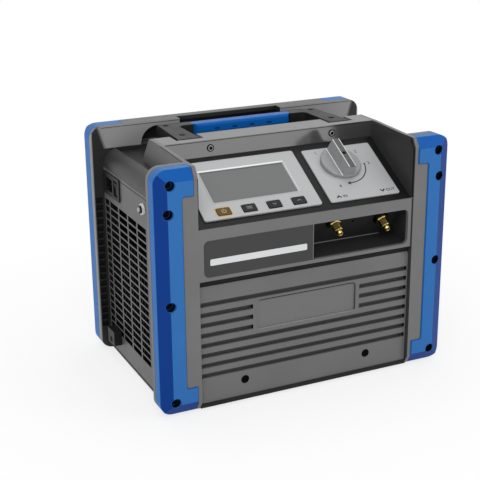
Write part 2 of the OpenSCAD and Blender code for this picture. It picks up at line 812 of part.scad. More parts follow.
module display_bezel() color(pale_grey) on_console() along_z(0, bezel_t) difference() {
    translate([bezel_x, bezel_s]) round_rect(bezel_w, bezel_h, bezel_r);
    translate([bezel_x, lcd_s]) square([lcd_w, lcd_h], center = true);
    for (i = [0:3]) translate([button_x(i), button_s]) button_hole(slide_gap);
}

module lcd_window() color("#7d7d7d") on_console() translate([bezel_x, lcd_s]) along_z(0, lcd_t)
    square([lcd_w - fit_gap, lcd_h - fit_gap], center = true);

module push_button(i) on_console() translate([button_x(i), button_s, 0]) {
    along_z(-tray_t - slide_gap - over, bezel_t + button_proud) round_rect(button_w, button_h, button_r);
    along_z(-tray_t - slide_gap - button_flange_t, -tray_t - slide_gap)
        square([button_w + 2 * button_flange, button_h + 2 * button_flange], center = true);
}

module power_button() color("#6a5f45") push_button(0);

module menu_button() color("#505050") push_button(1);

module down_button() color("#505050") push_button(2);

module up_button() color("#505050") push_button(3);

board_z = -tray_t - 11;
board_t = 1.6;
board_w = 146;
board_len = 90;
board_post_dia = 6;
switch_w = 6;
switch_top = -tray_t - slide_gap - button_flange_t - button_travel - 0.6;

// Board under the display, hung from the tray on four posts, with a switch under each button
module display_board() color("#2e5d3c") on_console() {
    translate([bezel_x, bezel_s]) along_z(board_z, board_z + board_t)
        square([board_w, board_len], center = true);
    for (x = [-1, 1], y = [-1, 1])
        translate([bezel_x + x * (board_w - board_post_dia) / 2,
            bezel_s + y * (board_len - board_post_dia) / 2, board_z + over])
            cylinder(d = board_post_dia, h = -tray_t - board_z - over);
    for (i = [0:3]) translate([button_x(i), button_s]) along_z(board_z + over, switch_top)
        square(switch_w, center = true);
}

module knob_plate() color("#acacac") on_console() along_z(0, plate_t) difference() {
    translate([plate_x, plate_s]) round_rect(knob_plate_w, knob_plate_h, plate_r);
    translate([knob_x, knob_s]) circle(d = spindle_dia + 2 * slide_gap);
}

module at_knob() on_console() translate([knob_x, knob_s, plate_t + knob_lift]) children();

knob_socket = 10;
knob_bevel = 1;
knob_screw_dia = 3;
knob_screw_head_dia = 5;
knob_screw_head_h = 2;
knob_screw_len = 14;
knob_sink_dia = 5.6;
knob_sink_z = knob_h - 3;

// Knob: a low drum with a tapered grip bar across it and a sunk screw in its axis
module selector_knob() color("#9c9c9c") at_knob() difference() {
    union() {
        cylinder(d = knob_dia, h = knob_base_h - knob_bevel);
        translate([0, 0, knob_base_h - knob_bevel])
            cylinder(d1 = knob_dia, d2 = knob_dia - 2 * knob_bevel, h = knob_bevel);
        intersection() {
            cylinder(d = knob_dia - knob_bevel, h = knob_h);
            along_y(-knob_dia, knob_dia) polygon([
                [-knob_foot_w / 2, knob_base_h - knob_bevel / 2], [-knob_top_w / 2, knob_h],
                [knob_top_w / 2, knob_h], [knob_foot_w / 2, knob_base_h - knob_bevel / 2]]);
        }
    }
    translate([0, 0, -over]) cylinder(d = spindle_dia, h = knob_socket + over);
    cylinder(d = knob_screw_dia, h = knob_h);
    translate([0, 0, knob_sink_z]) cylinder(d = knob_sink_dia, h = knob_h);
}

module knob_set_screw() color(black) at_knob() translate([0, 0, knob_sink_z]) {
    cylinder(d = knob_screw_head_dia, h = knob_screw_head_h);
    translate([0, 0, -knob_screw_len]) cylinder(d = knob_screw_dia, h = knob_screw_len + over);
}

module valve_spindle() color(steel) at_knob() difference() {
    translate([0, 0, knob_socket - spindle_len]) cylinder(d = spindle_dia, h = spindle_len);
    translate([0, 0, knob_sink_z - knob_screw_len]) cylinder(d = knob_screw_dia, h = knob_screw_len);
}

// Valve block under the knob plate, hung from the tray by its neck
manifold_top = -14;
manifold_h = 36;
manifold_x0 = 34;
manifold_x1 = 132;
manifold_s0 = 14;
manifold_s1 = 92;
neck_dia = 22;

module valve_manifold() color(steel) placed() difference() {
    on_slope() {
        block(manifold_x0, manifold_x1, manifold_s0, manifold_s1, manifold_top - manifold_h, manifold_top);
        translate([knob_x, knob_s, manifold_top - over])
            cylinder(d = neck_dia, h = over - manifold_top - tray_t);
    }
    on_slope() translate([knob_x, knob_s, plate_t + knob_lift + knob_socket - spindle_len - knob_lift])
        cylinder(d = spindle_dia + 2 * bearing_gap, h = spindle_len);
    for (i = [0, 1]) at_port(i) translate([0, 0, -stem_len - over])
        cylinder(d = stem_dia + fit_gap, h = stem_len);
}

// Mains inlet with a rocker switch, set in the left side panel
power_y = rear_y - 35;
power_z = 240;
power_w = 54;
power_h = 25;
power_flange = 2.5;
power_flange_t = 2;
power_d = 34;
socket_y = 9;
socket_w = 25;
socket_h = 17;
socket_d = 18;
socket_r = 3;
pin_w = 2;
pin_h = 4.5;
pin_len = 14;
pin_pitch = 7;
rocker_y = -15.5;
rocker_w = 13;
rocker_h = 19;
rocker_angle = 8;
rocker_t = 7;
rocker_pin_dia = 3;
rocker_pin_end = 3;

// Local X out of the panel, local Y to the back, local Z up, on the left side
module at_power() placed() mirror([1, 0, 0]) translate([side_x, power_y, power_z]) children();

module power_inlet() color(black) at_power() difference() {
    union() {
        along_x(0, power_flange_t)
            round_rect(power_w + 2 * power_flange, power_h + 2 * power_flange, socket_r);
        along_x(-power_d, over) square([power_w, power_h], center = true);
    }
    along_x(-socket_d, power_flange_t + over) translate([socket_y, 0])
        round_rect(socket_w, socket_h, socket_r);
    along_x(-rocker_h / 2 - rocker_t, power_flange_t + over) translate([rocker_y, 0])
        square([rocker_w + 2 * slide_gap, rocker_h + 4 * slide_gap], center = true);
    translate([-rocker_t / 2, rocker_y, 0])
        rod_y(rocker_pin_dia + 2 * bearing_gap, -rocker_w / 2 - rocker_pin_end - slide_gap,
            rocker_w / 2 + rocker_pin_end + slide_gap);
}

module inlet_pins() color(steel) at_power() for (i = [-1:1])
    translate([-socket_d, socket_y + i * pin_pitch, i == 0 ? 2.5 : -2])
        translate([0, -pin_w / 2, -pin_h / 2]) cube([pin_len, pin_w, pin_h]);

// Rocker with two faces at a shallow angle, tilted to its off position
module rocker_switch() color("#26282a") at_power() translate([-rocker_t / 2, rocker_y, 0]) {
    rotate([0, rocker_angle, 0]) along_y(-rocker_w / 2, rocker_w / 2) polygon([
        [-rocker_t / 2, 1 - rocker_h / 2],
        [rocker_t / 2 + rocker_h / 2 * tan(rocker_angle), 1 - rocker_h / 2],
        [rocker_t / 2, 0], [rocker_t / 2 + rocker_h / 2 * tan(rocker_angle), rocker_h / 2 - 1],
        [-rocker_t / 2, rocker_h / 2 - 1]]);
    rod_y(rocker_pin_dia, -rocker_w / 2 - rocker_pin_end, rocker_w / 2 + rocker_pin_end);
}

// Reset button of the circuit breaker, held by a hexagon nut
breaker_y = rim_d + 53;
breaker_z = 240;
breaker_dia = 10;
breaker_nut_w = 13;
breaker_nut_t = 3;
breaker_barrel = 5;
breaker_button_dia = 6;
breaker_case_d = 26;
breaker_case_w = 16;
breaker_case_h = 20;
breaker_bore_d = 12;
breaker_proud = 1.5;

module at_breaker() placed() mirror([1, 0, 0]) translate([side_x, breaker_y, breaker_z]) children();

module breaker_body() color(black) at_breaker() difference() {
    union() {
        rod_x(breaker_dia, -side_t - over, breaker_barrel);
        block(-side_t - breaker_case_d, -side_t, -breaker_case_w / 2, breaker_case_w / 2,
            -breaker_case_h / 2, breaker_case_h / 2);
    }
    rod_x(breaker_button_dia + 2 * slide_gap, -side_t - breaker_bore_d, breaker_barrel + over);
}

module breaker_nut() color(steel) at_breaker() difference() {
    rotate([0, 90, 0]) cylinder(d = breaker_nut_w / cos(30), h = breaker_nut_t, $fn = 6);
    rod_x(breaker_dia, -over, breaker_nut_t + over);
}

module breaker_button() color("#d8d8d4") at_breaker()
    rod_x(breaker_button_dia, slide_gap - side_t - breaker_bore_d, breaker_barrel + breaker_proud);

// Black blocks low on the sides, near the back
block_y = rear_y - 31;
block_z = 29.5;
block_w = 26;
block_h = 21;
block_t = 11;
block_r = 3;
block_screw_z = 26;

module at_block() translate([side_x, block_y, 0]) children();

module block_holes() at_block() translate([0, 0, block_screw_z])
    rod_x(screw_dia + fit_gap, -side_t - over, over);

module corner_blocks() color(black) placed() both_sides() at_block() difference() {
    along_x(0, block_t) translate([0, block_z]) round_rect(block_w, block_h, block_r);
    translate([0, 0, block_screw_z]) {
        rod_x(screw_head_dia + fit_gap, block_t - screw_head_h, block_t + over);
        rod_x(screw_dia + fit_gap, -over, block_t + over);
    }
}

module block_screws() color(steel) placed() both_sides() at_block() translate([0, 0, block_screw_z]) {
    rod_x(screw_head_dia, block_t - screw_head_h, block_t);
    rod_x(screw_dia, -side_t, block_t - screw_head_h);
}

// Compressor, motor and fan on one shaft along X
shaft_y = (rim_d + rear_y) / 2;
shaft_z = 100;
fan_x = 52 - inner_x;
motor_x0 = fan_x + 54;
motor_x1 = motor_x0 + motor_len;
crank_w = 64;
crank_d = 84;
crank_h = 92;
crank_r = 10;
head_d = 30;
head_h = 62;
head_fins = 5;
head_fin_t = 3;
head_fin_r = 8;
head_side = 4;
motor_nose = 6;
motor_rib_w = 4;
motor_rib_d = 2.5;
motor_rib_end = 12;
cradle_t = 12;
cradle_end = 18;
fan_w = 24;
hub_dia = 44;
blade_t = 2.4;
blade_pitch_deg = 32;
shaft_end_x = motor_x1 + crank_w - 12;
shroud_x = fan_x + 20;
shroud_t = 2;
shroud_ring = 40;
shroud_wall = 2;
shroud_gap = 4;
shroud_edge = 12;
shroud_top = shaft_z + fan_dia / 2 + 14;

module at_shaft() placed() translate([0, shaft_y, shaft_z]) children();

module motor_housing() color("#4c4f52") at_shaft() difference() {
    union() {
        rod_x(motor_dia, motor_x0, motor_x1);
        rod_x(motor_dia / 2, motor_x0 - motor_nose, motor_x0 + over);
    }
    rod_x(shaft_dia + 2 * bearing_gap, motor_x0 - 2 * motor_nose, motor_x1 + over);
    for (a = [0:20:340]) rotate([a, 0, 0]) translate([0, 0, motor_dia / 2])
        block(motor_x0 + motor_rib_end, motor_x1 - motor_rib_end, -motor_rib_w / 2, motor_rib_w / 2,
            -motor_rib_d, over);
}

// Cradle that carries the motor on the floor pan
module motor_feet() color(black) placed() difference() {
    for (x = [motor_x0 + cradle_end, motor_x1 - cradle_end - cradle_t])
        block(x, x + cradle_t, shaft_y - motor_dia / 2, shaft_y + motor_dia / 2,
            pan_t, shaft_z - motor_dia / 5);
    translate([0, shaft_y, shaft_z]) rod_x(motor_dia, motor_x0, motor_x1);
}

module crankcase() color("#8b8e90") at_shaft() difference() {
    along_x(motor_x1, motor_x1 + crank_w) round_rect(crank_d, crank_h, crank_r);
    rod_x(shaft_dia + 2 * bearing_gap, motor_x1 - over, shaft_end_x + over);
}

// Two opposed cylinder heads with cooling fins
module cylinder_heads() color("#a2a5a7") at_shaft() for (side = [-1, 1])
    translate([motor_x1 + crank_w / 2, side * (crank_d / 2 + head_d / 2), 0]) {
        along_y(-head_d / 2, head_d / 2) circle(d = head_h * 0.7);
        for (i = [0:head_fins - 1]) translate([0, (i / (head_fins - 1) - 0.5) * (head_d - head_fin_t), 0])
            along_y(-head_fin_t / 2, head_fin_t / 2) round_rect(crank_w - 2 * head_side, head_h, head_fin_r);
    }

module drive_shaft() color(steel) at_shaft() rod_x(shaft_dia, fan_x - fan_w / 2, shaft_end_x);

// Axial fan with pitched blades
module cooling_fan() color(black) at_shaft() translate([fan_x, 0, 0]) difference() {
    union() {
        rod_x(hub_dia, -fan_w / 2, fan_w / 2);
        intersection() {
            rod_x(fan_dia, -fan_w / 2, fan_w / 2);
            for (i = [0:fan_blades - 1]) rotate([i * 360 / fan_blades, 0, 0]) rotate([0, 0, blade_pitch_deg])
                block(-fan_w, fan_w, -blade_t / 2, blade_t / 2, hub_dia / 2 - 3, fan_dia);
        }
    }
    rod_x(shaft_dia, -fan_w, fan_w);
}

module fan_shroud() color(charcoal) placed() difference() {
    union() {
        block(shroud_x, shroud_x + shroud_t, shaft_y - fan_dia / 2 - shroud_edge,
            shaft_y + fan_dia / 2 + shroud_edge, pan_t, shroud_top);
        translate([0, shaft_y, shaft_z])
            rod_x(fan_dia + 2 * shroud_gap + 2 * shroud_wall, shroud_x - shroud_ring, shroud_x + over);
    }
    translate([0, shaft_y, shaft_z])
        rod_x(fan_dia + 2 * shroud_gap, shroud_x - shroud_ring - over, shroud_x + 2 * shroud_t);
}

// Condenser: tubes through a stack of fins behind the left grille
coil_x0 = 4 - inner_x;
coil_d = 22;
coil_len = rear_y - rim_d - 36;
coil_h = 150;
coil_tubes = 6;
fin_t = 1.2;
coil_foot_h = 20;
coil_tube_end = 6;

// The first and the last fin reach down to the floor pan
function fin_foot(i) = i == 0 || i == fin_count - 1 ? coil_foot_h : 0;

module condenser_coil() color("#b08d6a") placed()
    translate([coil_x0, shaft_y - coil_len / 2, pan_t + coil_foot_h]) {
    for (i = [0:fin_count - 1]) translate([0, i * (coil_len - fin_t) / (fin_count - 1), -fin_foot(i)])
        cube([coil_d, fin_t, coil_h + fin_foot(i)]);
    for (i = [0:coil_tubes - 1]) translate([coil_d / 2, 0, (i + 0.5) * coil_h / coil_tubes])
        rod_y(pipe_dia, -coil_tube_end, coil_len + coil_tube_end);
}

// Copper pipes from point to point with brazed ball elbows at the bends
module pipe_run(points) {
    for (i = [0:len(points) - 2]) {
        run = points[i + 1] - points[i];
        translate(points[i]) rotate([0, acos(run[2] / norm(run)), atan2(run[1], run[0])])
            cylinder(d = pipe_dia, h = norm(run));
    }
    for (i = [1:len(points) - 2]) translate(points[i]) sphere(d = pipe_dia + elbow_bulge);
}

// A point given on the console: to the right, up the slope and out of it
function slope_point(x, s, z) = [x, tray_y + s * cos(console_tilt) - z * sin(console_tilt),
    lip_top + s * sin(console_tilt) + z * cos(console_tilt)];

head_x = motor_x1 + crank_w / 2;
head_y = crank_d / 2 + head_d / 2;
head_top = shaft_z + head_h / 2;
pipe_s = 60;
pipe_drop = 20;
manifold_low = manifold_top - manifold_h;
coil_x = coil_x0 + coil_d / 2;
coil_front_y = shaft_y - coil_len / 2 - coil_tube_end;
coil_back_y = shaft_y + coil_len / 2 + coil_tube_end;
coil_low_z = pan_t + coil_foot_h + coil_h / coil_tubes / 2;
coil_high_z = coil_low_z + coil_h - coil_h / coil_tubes;
suction_x = manifold_x0 + 14;
suction_rise = 40;
liquid_x = manifold_x1 - 22;
liquid_z = 150;
discharge_z = 205;
pipe_clear = 6;
elbow_bulge = 2;

module suction_pipe() color("#b8733c") placed() pipe_run([
    slope_point(suction_x, pipe_s, manifold_low), slope_point(suction_x, pipe_s, manifold_low - pipe_drop),
    [head_x, shaft_y - head_y, head_top + suction_rise], [head_x, shaft_y - head_y, head_top]]);

module discharge_pipe() color("#b8733c") placed() pipe_run([
    [head_x, shaft_y + head_y, head_top], [head_x, shaft_y + head_y, discharge_z],
    [head_x, coil_back_y + pipe_clear, discharge_z], [coil_x, coil_back_y + pipe_clear, discharge_z],
    [coil_x, coil_back_y + pipe_clear, coil_high_z], [coil_x, coil_back_y, coil_high_z]]);

module liquid_pipe() color("#b8733c") placed() pipe_run([
    [coil_x, coil_front_y, coil_low_z], [coil_x, coil_front_y - pipe_clear, coil_low_z],
    [coil_x, coil_front_y - pipe_clear, liquid_z], [liquid_x, coil_front_y - pipe_clear, liquid_z],
    [liquid_x, slope_point(0, pipe_s, manifold_low - pipe_drop)[1], liquid_z],
    slope_point(liquid_x, pipe_s, manifold_low - pipe_drop), slope_point(liquid_x, pipe_s, manifold_low)]);

capacitor_gap = 17;
capacitor_y = shaft_y + 55;
capacitor_dia = 40;
capacitor_x = motor_x1 + crank_w + capacitor_gap + capacitor_dia / 2;
capacitor_h = 82;
capacitor_lid_h = 3;
lug_w = 6;
lug_t = 0.8;
lug_h = 9;
lug_pitch = 14;

module run_capacitor() color(black) placed() translate([capacitor_x, capacitor_y, pan_t]) {
    cylinder(d = capacitor_dia, h = capacitor_h);
    cylinder(d = capacitor_dia - 4, h = capacitor_h + capacitor_lid_h);
    for (side = [-1, 1]) translate([side * lug_pitch / 2 - lug_w / 2, -lug_t / 2, capacitor_h])
        cube([lug_w, lug_t, capacitor_lid_h + lug_h]);
}

switch_x = manifold_x0 + 24;
switch_hex_w = 15;
switch_hex_h = 7;
switch_dia = 14;
switch_len = 24;
switch_tip_dia = 8;
switch_tip_len = 5;

module pressure_switch() color(steel) placed() on_slope()
    translate([switch_x, manifold_s1, manifold_top - manifold_h / 2]) rotate([-90, 0, 0]) {
        cylinder(d = switch_hex_w / cos(30), h = switch_hex_h, $fn = 6);
        cylinder(d = switch_dia, h = switch_len);
        cylinder(d = switch_tip_dia, h = switch_len + switch_tip_len);
    }

power_board_x = inner_x - 42;
power_board_t = 2;
power_board_len = 100;
power_board_h = 100;
power_board_z = 30;
power_board_y = shaft_y - 80;
bracket_leg_w = 10;
bracket_leg_t = 9;
relay_w = 24;
relay_h = 19;
can_dia = 12;
can_h = 23;
can_pitch = 17;

// Circuit board on two legs, with a relay and three capacitors
module power_board() color("#2e5d3c") placed() translate([power_board_x, power_board_y, 0]) {
    block(0, power_board_t, 0, power_board_len, power_board_z, power_board_z + power_board_h);
    for (y = [bracket_leg_w / 2, power_board_len - 1.5 * bracket_leg_w])
        block(-bracket_leg_t / 3, bracket_leg_t * 2 / 3, y, y + bracket_leg_w, pan_t, power_board_z + over);
    block(power_board_t / 2, relay_h, bracket_leg_w, bracket_leg_w + relay_w, power_board_z + relay_w,
        power_board_z + 2 * relay_w);
    for (i = [0:2])
        translate([0, power_board_len / 2 + (i - 0.3) * can_pitch, power_board_z + power_board_h * 0.65])
            rod_x(can_dia, power_board_t / 2, can_h);
}

base_pan();
rubber_feet();
front_housing();
lower_front_panel();
panel_seal();
front_guard_left();
front_guard_right();
rear_frame();
rear_panel();
rear_guard_left();
rear_guard_right();
side_panel_left();
side_panel_right();
top_cover();
handle_bracket_left();
handle_bracket_right();
handle_grip();
handle_screws();
console_tray();
console_screws();
display_bezel();
lcd_window();
display_board();
power_button();
menu_button();
down_button();
up_button();
knob_plate();
selector_knob();
knob_set_screw();
valve_spindle();
valve_manifold();
port_bay();
nameplate();
inlet_port();
outlet_port();
guard_screws();
panel_screws();
power_inlet();
inlet_pins();
rocker_switch();
breaker_body();
breaker_nut();
breaker_button();
corner_blocks();
block_screws();
crankcase();
cylinder_heads();
motor_housing();
motor_feet();
drive_shaft();
cooling_fan();
fan_shroud();
condenser_coil();
suction_pipe();
discharge_pipe();
liquid_pipe();
run_capacitor();
pressure_switch();
power_board();
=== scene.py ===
"""Studio picture of a portable refrigerant recovery machine.

The frame is in metres, +Z up, front towards -Y. Sizes and places are written in millimetres and scaled by MM.
"""

import math

import bmesh
import bpy
from mathutils import Matrix, Vector


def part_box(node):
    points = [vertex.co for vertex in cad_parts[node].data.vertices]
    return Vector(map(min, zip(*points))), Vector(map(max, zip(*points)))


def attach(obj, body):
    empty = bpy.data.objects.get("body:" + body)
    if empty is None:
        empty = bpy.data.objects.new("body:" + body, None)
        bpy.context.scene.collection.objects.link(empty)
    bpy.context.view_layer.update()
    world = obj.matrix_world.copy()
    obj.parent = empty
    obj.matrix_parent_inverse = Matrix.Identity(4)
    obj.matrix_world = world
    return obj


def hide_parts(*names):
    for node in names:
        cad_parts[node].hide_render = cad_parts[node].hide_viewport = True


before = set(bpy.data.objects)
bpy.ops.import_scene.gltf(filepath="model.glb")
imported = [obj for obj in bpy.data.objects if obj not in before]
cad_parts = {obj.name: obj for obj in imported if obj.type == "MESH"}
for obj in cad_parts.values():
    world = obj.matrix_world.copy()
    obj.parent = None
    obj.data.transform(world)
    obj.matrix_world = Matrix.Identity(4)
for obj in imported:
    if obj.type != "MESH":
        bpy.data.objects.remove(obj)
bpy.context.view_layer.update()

MM = 0.001
SIDES = (-1, 1)


def lowest(name, axis):
    """Lowest place of a CAD node along an axis, in millimetres to the nearest thousandth."""
    return round(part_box(name)[0]["xyz".index(axis)] / MM, 3)


def highest(name, axis):
    """Highest place of a CAD node along an axis, in the same way."""
    return round(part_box(name)[1]["xyz".index(axis)] / MM, 3)


def middle(name, axis):
    """Place halfway between those two."""
    return (lowest(name, axis) + highest(name, axis)) / 2


# Camera of the photograph: angles in degrees, lens and sensor in millimetres, reach in metres
CAMERA_PLACE = Vector((-614.6, -1247.4, 636.9)) * MM
CAMERA_AZIMUTH = -24.976
CAMERA_ELEVATION = 18.883
CAMERA_ROLL = -0.596
CAMERA_LENS = 82.75
CAMERA_REACH = 50.0
SENSOR = 36.0

# Faces and edges of the part that the pieces and the masks go by
FRONT = lowest("front_guard_left", "y")
BACK = highest("rear_guard_left", "y")
GUARD_EDGE = lowest("front_guard_right", "x")
COLUMN = highest("console_tray", "x")
LIP_FACE = lowest("front_housing", "y")
LIP_FOOT = highest("panel_seal", "z")
LIP_TOP = 234.7
PANEL_FACE = lowest("lower_front_panel", "y")
FLANGE_FACE = lowest("rear_frame", "y")
FLANGE_TOP = highest("rear_frame", "z")
COVER_TOP = highest("top_cover", "z")
GRIP_FACE = lowest("handle_grip", "y")

# Console plane: its lower edge and its slope
CONSOLE_ORIGIN = Vector((0.0, lowest("console_tray", "y"), LIP_TOP)) * MM
CONSOLE_TILT = math.radians(30.0)

# Places of screws: distance from the middle plane, then y and z
PANEL_SCREW = (86.6, -120.0, 30.0)
CONSOLE_SCREW = (86.0, -28.74, 303.4)
BLOCK_SCREW = (194.2, 66.0, 30.0)
HANDLE_SCREW_X = 107.3
HANDLE_SCREW_ROWS = (10.26, 67.5)
HANDLE_SCREW_Z = 312.2

# Centre of the knob on the console, to the right and up the slope, and how far up the window and the keys are
DIAL = (76.0, 71.5)
WINDOW_ROW = 62.5
KEY_ROW = 20.5

# Thickness of printed marks, and how far they reach into the face below
INK_T = 0.12
INK_SUNK = 0.05

# Blend width at the edge of a shaded place, and spread of the roughness of a surface
SOFT = 0.2 * MM
GLOSS_SPREAD = 0.03


def linear(value):
    """One sRGB channel from 0 to 255 as a linear number."""
    c = value / 255.0
    return c / 12.92 if c <= 0.04045 else ((c + 0.055) / 1.055) ** 2.4


def rgb(red, green, blue):
    """Colour from three sRGB channels."""
    return (linear(red), linear(green), linear(blue), 1.0)


def grey(level):
    """Neutral grey."""
    return rgb(level, level, level)


def cool(level):
    """Grey with a touch of blue."""
    return rgb(level, level, level + 1)


def scaled(colour, factor):
    """The colour made lighter or darker."""
    return tuple(min(1.0, c * factor) for c in colour[:3]) + (1.0,)


class Shader:
    """A small node tree around one Principled shader."""

    noise_roughness = 0.55

    def __init__(self, name):
        self.material = bpy.data.materials.new(name)
        self.material.use_nodes = True
        self.tree = self.material.node_tree
        self.tree.nodes.clear()
        self.out = self.add("ShaderNodeOutputMaterial")
        self.main = self.add("ShaderNodeBsdfPrincipled")
        self.link(self.main.outputs["BSDF"], self.out.inputs["Surface"])
        self.place = self.add("ShaderNodeTexCoord").outputs["Object"]

    def add(self, kind, **values):
        node = self.tree.nodes.new(kind)
        for key, value in values.items():
            setattr(node, key, value)
        return node

    def link(self, source, target):
        self.tree.links.new(source, target)

    def noise(self, scale, detail):
        node = self.add("ShaderNodeTexNoise")
        node.inputs["Scale"].default_value = scale
        node.inputs["Detail"].default_value = detail
        node.inputs["Roughness"].default_value = self.noise_roughness
        self.link(self.place, node.inputs["Vector"])
        return node.outputs["Fac"]

    def ranged(self, source, low, high, start=0.3, end=0.7):
        """Takes a value from start to end into low to high. The usual ends are those of a noise."""
        node = self.add("ShaderNodeMapRange")
        node.inputs["From Min"].default_value = start
        node.inputs["From Max"].default_value = end
        node.inputs["To Min"].default_value = low
        node.inputs["To Max"].default_value = high
        self.link(source, node.inputs["Value"])
        return node.outputs["Result"]

    def mix(self, factor, first, second):
        node = self.add("ShaderNodeMix", data_type="RGBA")
        self.link(factor, node.inputs[0])
        for value, socket in ((first, node.inputs[6]), (second, node.inputs[7])):
            if isinstance(value, tuple):
                socket.default_value = value
            else:
                self.link(value, socket)
        return node.outputs[2]

    def axes(self, source):
        node = self.add("ShaderNodeSeparateXYZ")
        self.link(source, node.inputs["Vector"])
        return node.outputs

    def math(self, operation, *values):
        node = self.add("ShaderNodeMath", operation=operation)
        for value, socket in zip(values, node.inputs):
            if isinstance(value, float):
                socket.default_value = value
            else:
                self.link(value, socket)
        return node.outputs["Value"]

    def product(self, *values):
        total = values[0]
        for value in values[1:]:
            total = self.math("MULTIPLY", total, value)
        return total

    def above(self, source, level, soft):
        return self.ranged(source, 0.0, 1.0, level - soft, level + soft)

    def below(self, source, level, soft):
        return self.ranged(source, 1.0, 0.0, level - soft, level + soft)

    def bump(self, source, strength, distance):
        node = self.add("ShaderNodeBump")
        node.inputs["Strength"].default_value = strength
        node.inputs["Distance"].default_value = distance
        self.link(source, node.inputs["Height"])
        self.link(node.outputs["Normal"], self.main.inputs["Normal"])

    def drive(self, **sources):
        """Links values to inputs of the Principled shader."""
        for key, source in sources.items():
            self.link(source, self.main.inputs[key.replace("_", " ")])

    def fixed(self, **values):
        """Sets inputs of the Principled shader."""
        for key, value in values.items():
            self.main.inputs[key.replace("_", " ")].default_value = value


# Masks: each is 1 on some faces of a node and 0 elsewhere

# Blend widths of masks that go by the direction of a face
CRISP = 0.02
GENTLE = 0.05
BROAD = 0.1

# Directions of faces, as cosines of the angle to an axis
SIDEWAYS = 0.9
GROOVE_END = 0.7
CUT_WALL = 0.5
UPWARD = 0.8
FORWARD = -0.5
LEANING_LEAST = 0.72
LEANING_MOST = 0.955
LEANING_UP = 0.25

# Front housing and knob: margins at the columns, foot of the ridge, height of the knob's top over the
# console; they bound painted light and shade
WALL_MARGIN = 0.9
RIDGE_MARGIN = 0.5
RIDGE_FOOT = 273.0
KNOB_TOP = 22.0

# Front panel: depths behind its face from which the grooves, their ends, the badge's upper edge and the bores
# are painted dark as shade
GROOVE_DEPTH = 2.8
GROOVE_END_DEPTH = 0.6
BADGE_DEPTH = 0.8
BORE_DEPTH = 0.4

# Blank badge recess of the front panel, with a painted shadow under its upper edge and a painted highlight on
# its lower edge
BADGE_HALF = 69.5
BADGE_LOW = 93.5
BADGE_HIGH = 132.5
BADGE_MARGIN = 0.1
BADGE_SHADOW = 2.3
BADGE_TOP_MARGIN = 0.5
BADGE_FOOT_MARGIN = 0.9

# Half width of the screw bores of the front panel, with a margin
BORE_HALF = 5.6

# Ranges of the distance from the middle plane, and of the louvres' depth behind the rear frame's front, for
# painted shade in the louvre pockets and the top cover's valleys
LOUVRES = (187.4, 197.6)
LOUVRE_TOP = 0.4
LOUVRE_FLOOR = 3.6
VALLEYS = (123.7, 167.8)

# Painted shade on the edge of the rear frame: inside and depth of its rim, the line where the shade widens,
# margin of its faces
RIM_INSIDE = 198.6
RIM_DEPTH = 3.4
RIM_SLOPE = 0.3
RIM_START = 95.7
RIM_BLEND = 2.5
RIM_MARGIN = 0.6

# Hand pocket of the rear frame, painted in shade
POCKET_HALF = 131.6
POCKET_BACK = 126.0


def inside(shader, wide=(None, None), y=(None, None), z=(None, None)):
    """1 between limits in millimetres, None for an open end. The first pair is off the middle plane."""
    place = shader.axes(shader.place)
    parts = []
    for axis, (low, high) in (("X", wide), ("Y", y), ("Z", z)):
        if low is None and high is None:
            continue
        source = shader.math("ABSOLUTE", place[axis]) if axis == "X" else place[axis]
        if low is not None:
            parts.append(shader.above(source, low * MM, SOFT))
        if high is not None:
            parts.append(shader.below(source, high * MM, SOFT))
    return shader.product(*parts)


def normal_axes(shader):
    """The three parts of the direction in which a face looks."""
    return shader.axes(shader.add("ShaderNodeTexCoord").outputs["Normal"])


def either_way(shader, axis):
    """How far a face looks along an axis, to one end or the other."""
    return shader.math("ABSOLUTE", normal_axes(shader)[axis])


def slanted_faces(shader):
    """1 on the chamfers and facets of the guards, which lean away from the front and the back."""
    lean = either_way(shader, "Y")
    return shader.product(shader.above(lean, LEANING_LEAST, CRISP), shader.below(lean, LEANING_MOST, CRISP))


def upper_facets(shader):
    """1 on those of them that lean upward."""
    rising = shader.above(normal_axes(shader)["Z"], LEANING_UP, GENTLE)
    return shader.product(slanted_faces(shader), rising)


def side_faces(shader):
    """1 on the faces that look to the left or the right."""
    return shader.above(either_way(shader, "X"), SIDEWAYS, CRISP)


def cut_wall_shade(shader):
    """1 on the cut edges of the side panels, which are painted near black as shade."""
    return shader.below(either_way(shader, "X"), CUT_WALL, GENTLE)


def upward(shader):
    """1 on the faces that look up."""
    return shader.above(normal_axes(shader)["Z"], UPWARD, GENTLE)


def inner_wall_shade(shader):
    """1 on the faces of the two columns that look at each other, which are painted darker as shade."""
    near = inside(shader, wide=(COLUMN - WALL_MARGIN, COLUMN + WALL_MARGIN))
    return shader.product(near, side_faces(shader))


def console_ridge(shader):
    """1 on the ridge between the columns, behind the sloping console, which is painted lighter as light."""
    return inside(shader, wide=(None, COLUMN - RIDGE_MARGIN), z=(RIDGE_FOOT, None))


def console_wall(shader):
    """1 on the front of that ridge."""
    ahead = shader.below(normal_axes(shader)["Y"], FORWARD, BROAD)
    return shader.product(console_ridge(shader), ahead)


def knob_top_shade(shader):
    """1 on the top of the knob's grip bar, which is painted darker as shade."""
    place = shader.axes(shader.place)
    back = shader.math("SUBTRACT", place["Y"], CONSOLE_ORIGIN.y)
    rise = shader.math("SUBTRACT", place["Z"], CONSOLE_ORIGIN.z)
    out = shader.math("ADD", shader.math("MULTIPLY", back, -math.sin(CONSOLE_TILT)),
                      shader.math("MULTIPLY", rise, math.cos(CONSOLE_TILT)))
    return shader.above(out, KNOB_TOP * MM, SOFT)


def groove_shade(shader):
    """1 deep in the grooves of the front panel, which are painted darker as shade."""
    return inside(shader, y=(PANEL_FACE + GROOVE_DEPTH, None))


def groove_end_shade(shader):
    """1 on the upright ends of grooves and recesses in the front panel, which are painted near black as
    shade.
    """
    ends = shader.above(either_way(shader, "X"), GROOVE_END, GENTLE)
    return shader.product(ends, inside(shader, y=(PANEL_FACE + GROOVE_END_DEPTH, None)))


